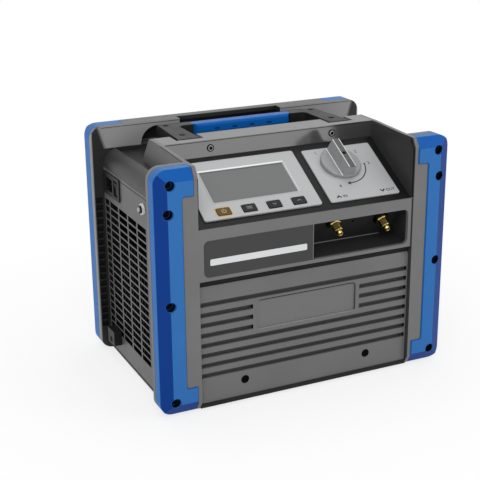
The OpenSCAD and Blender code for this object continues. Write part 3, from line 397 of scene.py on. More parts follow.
def badge_floor(shader):
    """1 on the floor of the blank badge recess."""
    return inside(shader, wide=(None, BADGE_HALF + BADGE_MARGIN),
                  z=(BADGE_LOW - BADGE_MARGIN, BADGE_HIGH + BADGE_MARGIN))


def badge_top_shadow(shader):
    """1 under the upper edge of that recess, where a shadow is painted."""
    return inside(shader, wide=(None, BADGE_HALF + BADGE_MARGIN), y=(PANEL_FACE + BADGE_DEPTH, None),
                  z=(BADGE_HIGH - BADGE_SHADOW, BADGE_HIGH + BADGE_TOP_MARGIN))


def badge_foot_highlight(shader):
    """1 on the lower edge of that recess, where a highlight is painted."""
    near = inside(shader, z=(BADGE_LOW - BADGE_FOOT_MARGIN, BADGE_LOW + BADGE_FOOT_MARGIN))
    return shader.product(upward(shader), near)


def panel_bore_shade(shader):
    """1 in the two screw bores of the front panel, which are painted near black as shade."""
    across, up = PANEL_SCREW[0], PANEL_SCREW[2]
    return inside(shader, wide=(across - BORE_HALF, across + BORE_HALF), y=(PANEL_FACE + BORE_DEPTH, None),
                  z=(up - BORE_HALF, up + BORE_HALF))


def louvre_pocket_shade(shader):
    """1 in the rows of pockets at both sides of the rear frame, which are painted near black as shade."""
    return inside(shader, wide=LOUVRES, y=(FLANGE_FACE + LOUVRE_TOP, FLANGE_FACE + LOUVRE_FLOOR))


def valley_shade(shader):
    """1 in the two valleys of the top cover, which are painted darker as shade."""
    return inside(shader, wide=VALLEYS)


def rear_recess_shade(shader):
    """1 on the louvred edge of the rear frame beside and above the casing, and inside its hand pocket, both
    painted dark as shade.
    """
    place = shader.axes(shader.place)
    wide = shader.math("ABSOLUTE", place["X"])
    slope = shader.math("SUBTRACT", wide, shader.math("MULTIPLY", place["Z"], RIM_SLOPE))
    edge = shader.math("MAXIMUM", inside(shader, z=(None, COVER_TOP + RIM_MARGIN)),
                       shader.above(slope, RIM_START * MM, RIM_BLEND * MM))
    rim = inside(shader, wide=(None, RIM_INSIDE), y=(None, FLANGE_FACE + RIM_DEPTH))
    strip = shader.product(rim, edge)
    pocket = inside(shader, wide=(None, POCKET_HALF), y=(FLANGE_FACE + RIM_MARGIN, POCKET_BACK),
                    z=(COVER_TOP + RIM_MARGIN, FLANGE_TOP - RIM_MARGIN))
    return shader.math("MAXIMUM", strip, pocket)


# Materials

# Noise scales per metre: slow drift of colour and change of gloss, of plastic and of metal
DRIFT_SCALE = 14.0
GLOSS_SCALE = 55.0
METAL_DRIFT_SCALE = 40.0
METAL_GLOSS_SCALE = 160.0

# Grain of sheet panels, of the blue mouldings and of smooth plates, per metre
SHEET_GRAIN = 1100.0
BLUE_GRAIN = 1300.0
FINE_GRAIN = 2200.0

# Height of the grain of plastic and of the marks in metal
GRAIN_HEIGHT = 0.06 * MM
MARK_HEIGHT = 0.04 * MM

# Clear coat of a shiny place, and what is left of its roughness
COAT_IOR = 2.0
COAT_ROUGHNESS = 0.14
SHINY_SHARE = 0.4


def moulded(name, colour, rough=0.45, spec=0.3, grain=1500.0, depth=0.3, mottle=0.05,
            shades=(), shiny=None):
    """Moulded plastic or powder coat: fine grain, faint mottling, uneven gloss, places in other tones, mostly
    painted light and shade, and shiny places.
    """
    shader = Shader(name)
    drift = shader.ranged(shader.noise(DRIFT_SCALE, 4.0), 0.0, 1.0)
    tint = shader.mix(drift, scaled(colour, 1 - mottle), scaled(colour, 1 + mottle))
    for where, shade in shades:
        tint = shader.mix(where(shader), tint, shade)
    shader.fixed(Specular_IOR_Level=spec)
    gloss = shader.ranged(shader.noise(GLOSS_SCALE, 3.0), rough - GLOSS_SPREAD, rough + GLOSS_SPREAD)
    if shiny:
        place = shiny(shader)
        shader.drive(Specular_IOR_Level=shader.ranged(place, spec, 1.0, 0.0, 1.0), Coat_Weight=place)
        shader.fixed(Coat_IOR=COAT_IOR, Coat_Roughness=COAT_ROUGHNESS)
        gloss = shader.product(gloss, shader.ranged(place, 1.0, SHINY_SHARE, 0.0, 1.0))
    shader.drive(Base_Color=tint, Roughness=gloss)
    shader.bump(shader.noise(grain, 2.0), depth, GRAIN_HEIGHT)
    return shader.material


def metal(name, colour, rough=0.25, spread=0.1, scratch=900.0, depth=0.15):
    """Bare metal with fine marks."""
    shader = Shader(name)
    shader.fixed(Metallic=1.0)
    drift = shader.ranged(shader.noise(METAL_DRIFT_SCALE, 3.0), 0.0, 1.0)
    gloss = shader.ranged(shader.noise(METAL_GLOSS_SCALE, 4.0), rough - spread, rough + spread)
    shader.drive(Base_Color=shader.mix(drift, scaled(colour, 0.86), scaled(colour, 1.1)), Roughness=gloss)
    shader.bump(shader.noise(scratch, 2.0), depth, MARK_HEIGHT)
    return shader.material


# Front housing: painted light on the ridge, painted shade on the columns' inner walls, and a dark glossy
# front wall on the ridge
CASING = moulded("casing_grey", grey(105), rough=0.42, shiny=console_wall, shades=(
    (console_ridge, grey(124)), (console_wall, grey(58)), (inner_wall_shade, grey(58))))
# Rear frame: its grey painted lighter than on the faces that look up, as painted light; painted shade on its
# louvred edge, in its hand pocket and its louvre pockets
REAR = moulded("rear_grey", grey(140), rough=0.44, shades=(
    (upward, grey(92)), (rear_recess_shade, grey(34)), (louvre_pocket_shade, grey(8))))
# Front panel: painted shade in the grooves, at their ends and in the bores, and a painted shadow and
# highlight at the badge recess
VENTED = moulded("vented_grey", grey(101), rough=0.42, grain=SHEET_GRAIN, shades=(
    (groove_shade, grey(72)), (badge_floor, grey(104)), (badge_top_shadow, grey(30)),
    (badge_foot_highlight, grey(160)), (groove_end_shade, grey(14)), (panel_bore_shade, grey(10))))
PANEL = moulded("panel_grey", grey(102), rough=0.42, grain=SHEET_GRAIN)
# Side panels: their cut edges painted near black as shade
SIDE = moulded("side_grey", grey(94), rough=0.42, grain=SHEET_GRAIN, shades=((cut_wall_shade, grey(12)),))
# Top cover: its valleys painted darker as shade
TOP = moulded("top_grey", grey(47), rough=0.38, grain=SHEET_GRAIN, mottle=0.03,
              shades=((valley_shade, grey(38)),))
# Guards: chamfers painted dark blue as shade, less dark where they lean upward, and side faces painted a
# lighter blue as light
BLUE = moulded("guard_blue", rgb(46, 104, 168), rough=0.38, spec=0.1, grain=BLUE_GRAIN, depth=0.2,
               mottle=0.03, shades=((slanted_faces, rgb(4, 54, 129)), (upper_facets, rgb(18, 84, 160)),
                                    (side_faces, rgb(14, 106, 184))))
GRIP = moulded("grip_blue", rgb(8, 88, 164), rough=0.32, spec=0.08, grain=BLUE_GRAIN, depth=0.15,
               mottle=0.03)
NAVY = moulded("mark_navy", rgb(6, 34, 84), rough=0.4, spec=0.1)
# Console lining and fan shroud: faces that look sideways painted lighter as light
CHARCOAL = moulded("charcoal", cool(22), rough=0.36, spec=0.12, shades=((side_faces, cool(52)),))
NAMEPLATE = moulded("nameplate_grey", cool(60), rough=0.40, spec=0.2, depth=0.15)
BLACK = moulded("black_plastic", cool(20), rough=0.45, spec=0.2)
BAY = moulded("bay_black", cool(43), rough=0.42, spec=0.25)
# Near black: the own colour of black screws and washers, and painted shade in the guards' bore sleeves and at
# the bottom of screw sockets
BLACK_AND_SHADE = moulded("black_and_bore_shade", cool(9), rough=0.6, spec=0.05)
BRACKET = moulded("bracket_grey", cool(30), rough=0.42, spec=0.14, depth=0.25)
PALE = moulded("pale_plate", rgb(168, 169, 170), rough=0.36, grain=FINE_GRAIN, depth=0.1, mottle=0.02)
# Bright trim: the own colour of the breaker nut, and painted highlights on the display window and the knob
CHROME_AND_HIGHLIGHT = moulded("chrome_and_highlight", rgb(222, 223, 224), rough=0.25, spec=0.5, grain=FINE_GRAIN, depth=0.05,
               mottle=0.02)
# Knob: the top of its grip bar painted darker as shade
KNOB = moulded("knob_silver", rgb(134, 135, 136), rough=0.28, spec=0.5, grain=FINE_GRAIN, depth=0.1,
               mottle=0.03, shades=((knob_top_shade, cool(60)),))
KEY = moulded("key_grey", cool(36), rough=0.45, spec=0.12)
POWER_KEY = moulded("power_key", rgb(76, 64, 44), rough=0.45, spec=0.2)
SCREEN = moulded("screen_grey", rgb(103, 104, 104), rough=0.36, spec=0.2, grain=2600.0, depth=0.02,
                 mottle=0.02)
RUBBER = moulded("rubber", grey(20), rough=0.7, spec=0.2, grain=900.0, depth=0.5)
PAN = moulded("pan_black", grey(24), rough=0.5, spec=0.2)
BOARD = moulded("board_green", rgb(40, 88, 60), rough=0.4)
MOTOR = moulded("motor_grey", rgb(60, 62, 64), rough=0.45)
FINS = moulded("fin_black", grey(20), rough=0.5, spec=0.2)
INK = moulded("ink_black", cool(28), rough=0.5, spec=0.2, depth=0.1)
# Grey ink of the key symbols, also used for a painted highlight in the port bay
LEGEND_AND_HIGHLIGHT = moulded("ink_grey_and_highlight", rgb(150, 151, 152), rough=0.5, spec=0.2, depth=0.1, mottle=0.02)
WHITE_INK = moulded("ink_white", rgb(206, 207, 208), rough=0.5, spec=0.2, depth=0.1, mottle=0.02)
AMBER = moulded("ink_amber", rgb(214, 170, 66), rough=0.45, spec=0.2, depth=0.1, mottle=0.04)
BRASS = metal("brass", rgb(206, 188, 124), rough=0.12, spread=0.05)
# Darker brass of the connectors' threads, as painted shade
BRASS_SHADE = metal("brass_thread_shade", rgb(92, 78, 44), rough=0.22, spread=0.06)
STEEL = metal("steel", rgb(168, 170, 172), rough=0.28)
DARK_STEEL = metal("dark_steel", rgb(70, 71, 72), rough=0.34)
ALLOY = metal("cast_alloy", rgb(150, 152, 154), rough=0.45, scratch=500.0, depth=0.4)
COPPER = metal("copper", rgb(46, 30, 22), rough=0.5)

FINISH = {
    CASING: ("front_housing",),
    REAR: ("rear_frame",),
    VENTED: ("lower_front_panel",),
    PANEL: ("rear_panel",),
    SIDE: ("side_panel_left", "side_panel_right"),
    TOP: ("top_cover",),
    BLUE: ("front_guard_left", "front_guard_right", "rear_guard_left", "rear_guard_right"),
    GRIP: ("handle_grip",),
    CHARCOAL: ("console_tray", "fan_shroud"),
    NAMEPLATE: ("nameplate",),
    BAY: ("port_bay",),
    BLACK: ("power_inlet", "rocker_switch", "breaker_body", "corner_blocks", "cooling_fan",
            "run_capacitor"),
    BRACKET: ("handle_bracket_left", "handle_bracket_right"),
    PALE: ("display_bezel", "knob_plate", "breaker_button"),
    KNOB: ("selector_knob",),
    KEY: ("menu_button", "down_button", "up_button"),
    POWER_KEY: ("power_button",),
    SCREEN: ("lcd_window",),
    CHROME_AND_HIGHLIGHT: ("breaker_nut",),
    RUBBER: ("rubber_feet", "panel_seal"),
    PAN: ("base_pan", "motor_feet"),
    BOARD: ("display_board", "power_board"),
    MOTOR: ("motor_housing",),
    BRASS: ("inlet_port", "outlet_port"),
    STEEL: ("console_screws", "valve_spindle", "inlet_pins", "block_screws", "drive_shaft",
            "pressure_switch"),
    DARK_STEEL: ("handle_screws", "panel_screws"),
    BLACK_AND_SHADE: ("guard_screws", "knob_set_screw"),
    ALLOY: ("crankcase", "cylinder_heads", "valve_manifold"),
    COPPER: ("suction_pipe", "discharge_pipe", "liquid_pipe"),
    FINS: ("condenser_coil",),
}

for material, names in FINISH.items():
    for name in names:
        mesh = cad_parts[name].data
        mesh.materials.clear()
        mesh.materials.append(material)

# Softened edges of CAD nodes: how near corners are joined, and in degrees what counts as flat or as an edge
WELD_REACH = 0.005 * MM
FLAT_ANGLE = 0.4
EDGE_ANGLE = 32.0
EDGE_SEGMENTS = 2


def soften(name, width):
    """Rounds the sharp edges of a CAD node by a small width."""
    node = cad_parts[name]
    weld = node.modifiers.new("weld", "WELD")
    weld.merge_threshold = WELD_REACH
    flat = node.modifiers.new("flat", "DECIMATE")
    flat.decimate_type = "DISSOLVE"
    flat.angle_limit = math.radians(FLAT_ANGLE)
    bevel = node.modifiers.new("round", "BEVEL")
    bevel.width = width
    bevel.segments = EDGE_SEGMENTS
    bevel.limit_method = "ANGLE"
    bevel.angle_limit = math.radians(EDGE_ANGLE)
    bevel.use_clamp_overlap = True
    even = node.modifiers.new("even", "WEIGHTED_NORMAL")
    even.keep_sharp = True


SOFT_EDGES = {
    1.2 * MM: ("front_guard_left", "front_guard_right", "rear_guard_left", "rear_guard_right", "handle_grip"),
    0.9 * MM: ("front_housing", "rear_frame", "handle_bracket_left", "handle_bracket_right", "corner_blocks"),
    0.5 * MM: ("console_tray", "lower_front_panel", "port_bay", "selector_knob", "top_cover", "power_inlet"),
    0.35 * MM: ("display_bezel", "knob_plate", "menu_button", "down_button", "up_button", "power_button"),
}

for width, names in SOFT_EDGES.items():
    for name in names:
        soften(name, width)


def photo_camera():
    """Camera at the photograph's place and angle."""
    azimuth = math.radians(CAMERA_AZIMUTH)
    elevation = math.radians(CAMERA_ELEVATION)
    roll = math.radians(CAMERA_ROLL)
    ahead = Vector((-math.sin(azimuth) * math.cos(elevation), math.cos(azimuth) * math.cos(elevation),
                    -math.sin(elevation)))
    right = Vector((math.cos(azimuth), math.sin(azimuth), 0.0))
    up = right.cross(ahead)
    side = right * math.cos(roll) + up * math.sin(roll)
    top = up * math.cos(roll) - right * math.sin(roll)
    turn = Matrix((side, top, -ahead)).transposed().to_4x4()
    data = bpy.data.cameras.new("camera")
    data.lens = CAMERA_LENS
    data.sensor_width = SENSOR
    data.clip_end = CAMERA_REACH
    camera = bpy.data.objects.new("camera", data)
    camera.matrix_world = Matrix.Translation(CAMERA_PLACE) @ turn
    bpy.context.scene.collection.objects.link(camera)
    bpy.context.scene.camera = camera


# Studio, in metres and watts: place, size and power of each lamp, and the point that all of them look at
LAMPS = {
    "key": ((-1.0, -1.8, 1.7), (1.4, 1.4), 26.0),
    "fill": ((1.6, -1.4, 0.9), (1.2, 1.2), 9.0),
    "top": ((0.1, 0.3, 1.9), (1.6, 1.2), 9.0),
}
LAMP_TARGET = (0.0, 0.0, 0.16)

# Strength of the white surround as a light, and as a background
SURROUND_LIGHT = 0.5
SURROUND_SEEN = 1.0

# Floor: half its width, its white, and the glow that grows between two distances from the part
FLOOR_HALF = 6.0
FLOOR_WHITE = 0.95
FLOOR_ROUGHNESS = 0.9
GLOW_NEAR = 0.25
GLOW_FAR = 0.6
GLOW_LEAST = 0.75


def softbox(name, place, size, power):
    """Rectangular lamp turned to the target."""
    data = bpy.data.lights.new(name, "AREA")
    data.shape = "RECTANGLE"
    data.size, data.size_y = size
    data.energy = power
    lamp = bpy.data.objects.new(name, data)
    lamp.location = place
    lamp.rotation_euler = (Vector(LAMP_TARGET) - Vector(place)).to_track_quat("-Z", "Y").to_euler()
    bpy.context.scene.collection.objects.link(lamp)


def seen_rays(tree):
    """1 for rays that show the background: camera, glossy and transmission rays."""
    path = tree.nodes.new("ShaderNodeLightPath")
    total = path.outputs["Is Camera Ray"]
    for name in ("Is Glossy Ray", "Is Transmission Ray"):
        add = tree.nodes.new("ShaderNodeMath")
        add.operation = "ADD"
        add.use_clamp = True
        tree.links.new(total, add.inputs[0])
        tree.links.new(path.outputs[name], add.inputs[1])
        total = add.outputs["Value"]
    return total


def surround():
    """Even white world, brighter as a background than as a light."""
    world = bpy.data.worlds.new("studio")
    world.use_nodes = True
    bpy.context.scene.world = world
    tree = world.node_tree
    ground = tree.nodes["Background"]
    ground.inputs["Color"].default_value = (1.0, 1.0, 1.0, 1.0)
    level = tree.nodes.new("ShaderNodeMapRange")
    level.inputs["To Min"].default_value = SURROUND_LIGHT
    level.inputs["To Max"].default_value = SURROUND_SEEN
    tree.links.new(seen_rays(tree), level.inputs["Value"])
    tree.links.new(level.outputs["Result"], ground.inputs["Strength"])


def floor_paint():
    """White that takes shadows near the part and fades into the background away from it."""
    shader = Shader("floor_white")
    shader.fixed(Base_Color=(FLOOR_WHITE, FLOOR_WHITE, FLOOR_WHITE, 1.0), Roughness=FLOOR_ROUGHNESS)
    away = shader.add("ShaderNodeVectorMath", operation="LENGTH")
    shader.link(shader.place, away.inputs[0])
    share = shader.ranged(away.outputs["Value"], GLOW_LEAST, 1.0, GLOW_NEAR, GLOW_FAR)
    glow = shader.add("ShaderNodeEmission")
    blend = shader.add("ShaderNodeMixShader")
    shader.link(shader.product(share, seen_rays(shader.tree)), blend.inputs["Fac"])
    shader.link(shader.main.outputs["BSDF"], blend.inputs[1])
    shader.link(glow.outputs["Emission"], blend.inputs[2])
    shader.link(blend.outputs["Shader"], shader.out.inputs["Surface"])
    return shader.material


def studio():
    """Pale floor, even white surround and three soft lamps."""
    bpy.context.scene.view_settings.view_transform = "Standard"
    surround()
    mesh = bpy.data.meshes.new("floor")
    half = FLOOR_HALF
    square = [(-half, -half, 0), (half, -half, 0), (half, half, 0), (-half, half, 0)]
    mesh.from_pydata(square, [], [(0, 1, 2, 3)])
    mesh.materials.append(floor_paint())
    floor = bpy.data.objects.new("floor", mesh)
    bpy.context.scene.collection.objects.link(floor)
    for name, (place, size, power) in LAMPS.items():
        softbox(name, place, size, power)


class Form:
    """Collects closed skins, given in millimetres, into one mesh."""

    sharp_angle = math.radians(35.0)

    def __init__(self):
        self.points = []
        self.faces = []

    def skin(self, rings, place=Matrix(), closed=False):
        """Joins rings of equal count. An open row of rings gets a cap at each end."""
        count = len(rings[0])
        start = len(self.points)
        for ring in rings:
            self.points.extend(place @ (Vector(point) * MM) for point in ring)
        total = len(rings)
        for i in range(total if closed else total - 1):
            here = start + i * count
            there = start + (i + 1) % total * count
            for j in range(count):
                k = (j + 1) % count
                self.faces.append((here + j, here + k, there + k, there + j))
        if not closed:
            self.faces.append(tuple(range(start + count - 1, start - 1, -1)))
            last = start + (total - 1) * count
            self.faces.append(tuple(range(last, last + count)))

    def turned(self, profile, place):
        """A round skin from pairs of radius and height."""
        self.skin([raised(circle(radius), height) for radius, height in profile], place)

    def prism(self, outline, low, high, place=Matrix()):
        self.skin([raised(outline, low), raised(outline, high)], place)

    def frame(self, outer, inner, low, high, place=Matrix()):
        """A flat ring between two outlines of equal count."""
        levels = ((outer, low), (outer, high), (inner, high), (inner, low))
        self.skin([raised(outline, z) for outline, z in levels], place, closed=True)

    def slab(self, low, high):
        """A box between two corners of the frame."""
        left, right = sorted((low[0], high[0]))
        self.prism([(left, low[1]), (right, low[1]), (right, high[1]), (left, high[1])], low[2], high[2])

    def piece(self, name, material, body, slot, *nodes):
        """Puts the finished mesh on a body of the part."""
        mesh = bpy.data.meshes.new(name)
        mesh.from_pydata(self.points, [], self.faces)
        work = bmesh.new()
        work.from_mesh(mesh)
        bmesh.ops.recalc_face_normals(work, faces=work.faces)
        work.to_mesh(mesh)
        work.free()
        mesh.shade_smooth()
        mesh.set_sharp_from_angle(angle=self.sharp_angle)
        piece(name, mesh, material, body, slot, *nodes)


def piece(name, mesh, material, body, slot, *nodes):
    """Puts a mesh on a body of the part, in place of CAD nodes where they are named."""
    mesh.materials.append(material)
    thing = bpy.data.objects.new(name, mesh)
    bpy.context.scene.collection.objects.link(thing)
    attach(thing, body)
    if nodes:
        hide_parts(*nodes)


def on_console(x, s, out):
    """Place on the console: to the right, up the slope and out of it, in millimetres."""
    turn = Matrix.Rotation(CONSOLE_TILT, 4, "X")
    return Matrix.Translation(CONSOLE_ORIGIN) @ turn @ Matrix.Translation(Vector((x, s, out)) * MM)


def facing(x, y, z, axis, degrees):
    """Place whose local Z is turned about an axis of the frame."""
    return Matrix.Translation(Vector((x, y, z)) * MM) @ Matrix.Rotation(math.radians(degrees), 4, axis)


def polar(radius, angle):
    """Point at a distance and an angle from the origin."""
    return (radius * math.cos(angle), radius * math.sin(angle))


def circle(radius, count=24):
    """Outline of a circle."""
    return [polar(radius, math.radians(360.0 * i / count)) for i in range(count)]


def hexagon(flat, count=24):
    """Outline of a hexagon of this width over the flats, drawn with count points."""
    points = []
    for i in range(count):
        angle = math.radians(360.0 * i / count)
        off = (angle + math.pi / 6.0) % (math.pi / 3.0) - math.pi / 6.0
        points.append(polar(flat / 2.0 / math.cos(off), angle))
    return points


def rectangle(width, height, radius, steps=4):
    """Outline of a rectangle with rounded corners."""
    points = []
    for corner in range(4):
        middle_x = (width / 2 - radius) * (1 if corner in (0, 3) else -1)
        middle_y = (height / 2 - radius) * (1 if corner in (0, 1) else -1)
        for i in range(steps + 1):
            x, y = polar(radius, math.radians(90.0 * (corner + i / steps)))
            points.append((middle_x + x, middle_y + y))
    return points


def raised(outline, z):
    """A flat outline at a height."""
    return [(x, y, z) for x, y in outline]


def arc_band(radius, width, start, end, count=40):
    """Outline of a curved stroke."""
    angles = [math.radians(start + (end - start) * i / count) for i in range(count + 1)]
    outer = [polar(radius + width / 2, angle) for angle in angles]
    inner = [polar(radius - width / 2, angle) for angle in reversed(angles)]
    return outer + inner


def stroke(start, end, width):
    """Outline of a straight stroke."""
    a, b = Vector(start), Vector(end)
    side = (b - a).orthogonal().normalized() * width / 2
    return [tuple(a + side), tuple(a - side), tuple(b - side), tuple(b + side)]


def chevron(half, foot, tip, over, width):
    """Outlines of two strokes that come from both sides and cross a little at the tip."""
    return [stroke((-half * x, foot), (over * x, tip), width) for x in (1, -1)]


def screws(name, node, places, material=BLACK_AND_SHADE, radius=4.0, height=1.8, socket=4.0):
    """A row of round heads with a bevelled edge and a hexagon socket, whose bottom is painted near black as
    shade.
    """
    bevel = 0.35
    floor = height - 1.3
    pit_gap = 0.1
    pit_top = height - 0.25
    heads = Form()
    pits = Form()
    for place in places:
        heads.skin([raised(circle(radius), 0.0), raised(circle(radius), height - bevel),
                    raised(circle(radius - bevel), height), raised(hexagon(socket), height),
                    raised(hexagon(socket), floor)], place)
        pits.prism(hexagon(socket - pit_gap), floor, pit_top, place)
    heads.piece(name, material, "casing", "steel", node)
    pits.piece(name + "_pits", BLACK_AND_SHADE, "casing", "steel")


def add_screws():
    """Screw heads that show, and washers under those of the console."""
    x, y, z = PANEL_SCREW
    screws("panel_heads", "panel_screws", [facing(x * side, y, z, "X", 90) for side in SIDES])
    screws("handle_heads", "handle_screws", [facing(HANDLE_SCREW_X * side, row, HANDLE_SCREW_Z, "X", 0)
                                             for side in SIDES for row in HANDLE_SCREW_ROWS])
    x, y, z = BLOCK_SCREW
    screws("block_heads", "block_screws", [facing(x * side, y, z, "Y", 90 * side) for side in SIDES])
    x, y, z = CONSOLE_SCREW
    consoles = [facing(x * side, y, z, "X", 90) for side in SIDES]
    screws("console_heads", "console_screws", consoles, PALE, radius=3.3, height=1.6, socket=4.7)
    washers = Form()
    washer_r, washer_hole_r, washer_t = 4.7, 3.1, 0.7
    for place in consoles:
        washers.frame(circle(washer_r), circle(washer_hole_r), 0.0, washer_t, place)
    washers.piece("console_washers", BLACK_AND_SHADE, "casing", "steel")


def add_sleeves():
    """Dark sleeves in the bores of the guards as painted shade, two near the ends of each guard and two
    between.
    """
    outer_r, inner_r = 5.95, 5.6
    bottom, top = -8.9, -2.6
    end_x, low_z = 181.7, 21.0
    between_x, between_rows = 184.6, (146.0, 259.0)
    sleeves = Form()
    for side in SIDES:
        for face, turn, high_z in ((FRONT, 90, 293.0), (BACK, -90, 297.0)):
            bores = [(end_x, low_z), (end_x, high_z)] + [(between_x, z) for z in between_rows]
            for across, z in bores:
                place = facing(across * side, face, z, "X", turn)
                sleeves.frame(circle(outer_r), circle(inner_r), bottom, top, place)
    sleeves.piece("bore_shade_sleeves", BLACK_AND_SHADE, "casing", "black_plastic")


# Port bay: seats of the connectors and of a small hole on its back wall, and that wall's turn in degrees
PORTS = {"inlet": (46.0, -106.3, 210.7), "outlet": (116.5, -103.41, 205.7)}
BAY_HOLE = (75.9, -103.9, 206.6)
BAY_LEAN = 120


def thread_profile():
    """Radius and height along the rolled thread of a connector."""
    crest, root, neck, core = 5.5, 4.95, 5.1, 4.0
    foot, pitch, turns = 7.6, 1.35, 5
    profile = [(core, foot - 0.8), (neck, foot - 0.7), (neck, foot)]
    for i in range(turns):
        low = foot + i * pitch
        profile += [(crest, low + 0.45 * pitch), (crest, low + 0.6 * pitch), (root, low + pitch)]
    return profile


def nose_profile():
    """Radius and height along a connector's nose: a ring, a groove, the flare cone and the bore."""
    core, ring, groove, cone, tip, bore = 4.0, 5.5, 4.2, 4.9, 3.6, 2.4
    return [(core, 14.3), (ring - 0.3, 14.4), (ring, 14.8), (ring, 16.2), (ring - 0.3, 16.6),
            (groove, 16.8), (groove, 17.6), (cone, 17.8), (cone, 18.6), (tip, 21.9),
            (bore + 0.2, 21.9), (bore, 21.5), (bore, 12.0)]


def add_ports():
    """Flare connectors on black washers: chamfered hexagon, rolled thread in darker brass as painted shade,
    bright ringed nose.
    """
    flat, chamfer, flat_top = 15.0, 0.5, 6.0
    collar_r, core_r, collar_top = 6.9, 4.0, 6.9
    washer_r, washer_t = 10.4, 1.2
    hole_r, hole_t = 1.7, 0.15
    sunk = -0.3
    dark = Form()
    dark.prism(circle(hole_r), sunk, hole_t, facing(*BAY_HOLE, "X", BAY_LEAN))
    for name, seat in PORTS.items():
        place = facing(*seat, "X", BAY_LEAN)
        flare = Form()
        flare.skin([raised(hexagon(flat - 2 * chamfer), 0.0), raised(hexagon(flat), chamfer),
                    raised(hexagon(flat), flat_top), raised(circle(collar_r), collar_top),
                    raised(circle(core_r), collar_top)], place)
        flare.turned(nose_profile(), place)
        flare.piece(name + "_flare", BRASS, "casing", "brass", name + "_port")
        thread = Form()
        thread.turned(thread_profile(), place)
        thread.piece(name + "_thread", BRASS_SHADE, "casing", "brass")
        dark.prism(circle(washer_r), sunk, washer_t, place)
    dark.piece("bay_washers", BLACK_AND_SHADE, "casing", "black_plastic")


def add_window():
    """Bevelled frame of the display's window, with painted highlights on its upper and right edges."""
    width, height, corner = 118.6, 56.6, 1.6
    inset_and_height = ((0.0, 2.5), (0.2, 2.8), (0.6, 2.8), (2.8, 1.7), (2.8, 1.62), (0.8, 1.62))
    place = on_console(middle("display_bezel", "x"), WINDOW_ROW, 0.0)
    window = Form()
    window.skin([raised(rectangle(width - 2 * inset, height - 2 * inset, corner), z)
                 for inset, z in inset_and_height], place, closed=True)
    window.piece("window_frame", PALE, "casing", "pale_plate")
    half, top, foot = 58.4, 27.8, -27.0
    upper_h, right_w = 2.4, 0.7
    layer = (2.7, 2.86)
    bright = Form()
    for left, low in ((-half, top - upper_h), (half - right_w, foot)):
        bright.prism([(left, low), (half, low), (half, top), (left, top)], *layer, place)
    bright.piece("window_edge_highlight", CHROME_AND_HIGHLIGHT, "casing", "pale_plate")


def add_key_marks():
    """Lit outline round the first key, and a plain symbol on each key."""
    bezel, key_top = 2.45, 3.7
    outer = rectangle(20.8, 14.4, 2.6)
    inner = rectangle(18.9, 12.5, 2.0)
    outline = Form()
    outline.frame(outer, inner, bezel, bezel + INK_T * 2,
                  on_console(middle("power_button", "x"), KEY_ROW, 0.0))
    outline.piece("power_outline", AMBER, "casing", "pale_plate")
    symbols = {
        "power": ([arc_band(2.6, 0.7, 120.0, 420.0), stroke((0.0, 0.6), (0.0, 3.4), 0.7)], AMBER),
        "menu": ([stroke((-3.6, y), (3.6, y), 0.5) for y in (-1.6, 0.0, 1.6)], LEGEND_AND_HIGHLIGHT),
        "down": (chevron(2.4, 1.0, -1.4, 0.2, 0.6), LEGEND_AND_HIGHLIGHT),
        "up": (chevron(2.4, -1.0, 1.4, 0.2, 0.6), LEGEND_AND_HIGHLIGHT),
    }
    for name, (strokes, ink) in symbols.items():
        place = on_console(middle(name + "_button", "x"), KEY_ROW, 0.0)
        mark = Form()
        for shape in strokes:
            mark.prism(shape, key_top - INK_SUNK, key_top + INK_T, place)
        mark.piece(name + "_mark", ink, name + "_key", "button_grey")


def lettering(name, text, size, place):
    """Plain raised lettering as a mesh."""
    curve = bpy.data.curves.new(name, "FONT")
    curve.body = text
    curve.size = size * MM
    curve.extrude = INK_T / 2 * MM
    curve.align_x = "CENTER"
    curve.align_y = "CENTER"
    drawn = bpy.data.objects.new(name, curve)
    bpy.context.scene.collection.objects.link(drawn)
    shown = drawn.evaluated_get(bpy.context.evaluated_depsgraph_get())
    mesh = bpy.data.meshes.new_from_object(shown)
    bpy.data.objects.remove(drawn)
    mesh.transform(place)
    return mesh


def add_dial():
    """Printed marks on the knob plate: turning arrow, dial numbers and flow marks of the ports."""
    face = 2.0
    layer = (face - INK_SUNK, face + INK_T)
    dial = on_console(*DIAL, 0.0)
    arrow_line = arc_band(34.0, 1.4, -8.0, -92.0)
    arrow_head = [(-1.0, -36.6), (-1.0, -31.4), (-5.4, -34.2)]
    arrow_dot = circle(1.3, 16)
    dot_place = dial @ Matrix.Translation(Vector((33.7, -4.7, 0.0)) * MM)
    marks = Form()
    marks.prism(arrow_line, *layer, dial)
    marks.prism(arrow_head, *layer, dial)
    marks.prism(arrow_dot, *layer, dot_place)
    for x, s, up in ((48.6, 17.4, 1), (111.4, 17.8, -1)):
        for shape in chevron(3.2, -1.6 * up, 1.9 * up, 0.5, 1.7):
            marks.prism(shape, *layer, on_console(x, s, 0.0))
    marks.piece("dial_marks", INK, "casing", "pale_plate")
    number_size, label_size = 7.0, 6.2
    labels = {
        "number_1": ("1", number_size, 52.0, 96.0),
        "number_2": ("2", number_size, 108.0, 90.0),
        "number_3": ("3", number_size, 116.0, 67.0),
        "number_4": ("4", number_size, 59.0, 34.6),
        "label_in": ("IN", label_size, 57.4, 17.2),
        "label_out": ("OUT", label_size, 123.0, 17.4),
    }
    for name, (text, size, x, s) in labels.items():
        mesh = lettering(name, text, size, on_console(x, s, face + INK_T / 2))
        piece(name, mesh, INK, "casing", "pale_plate")


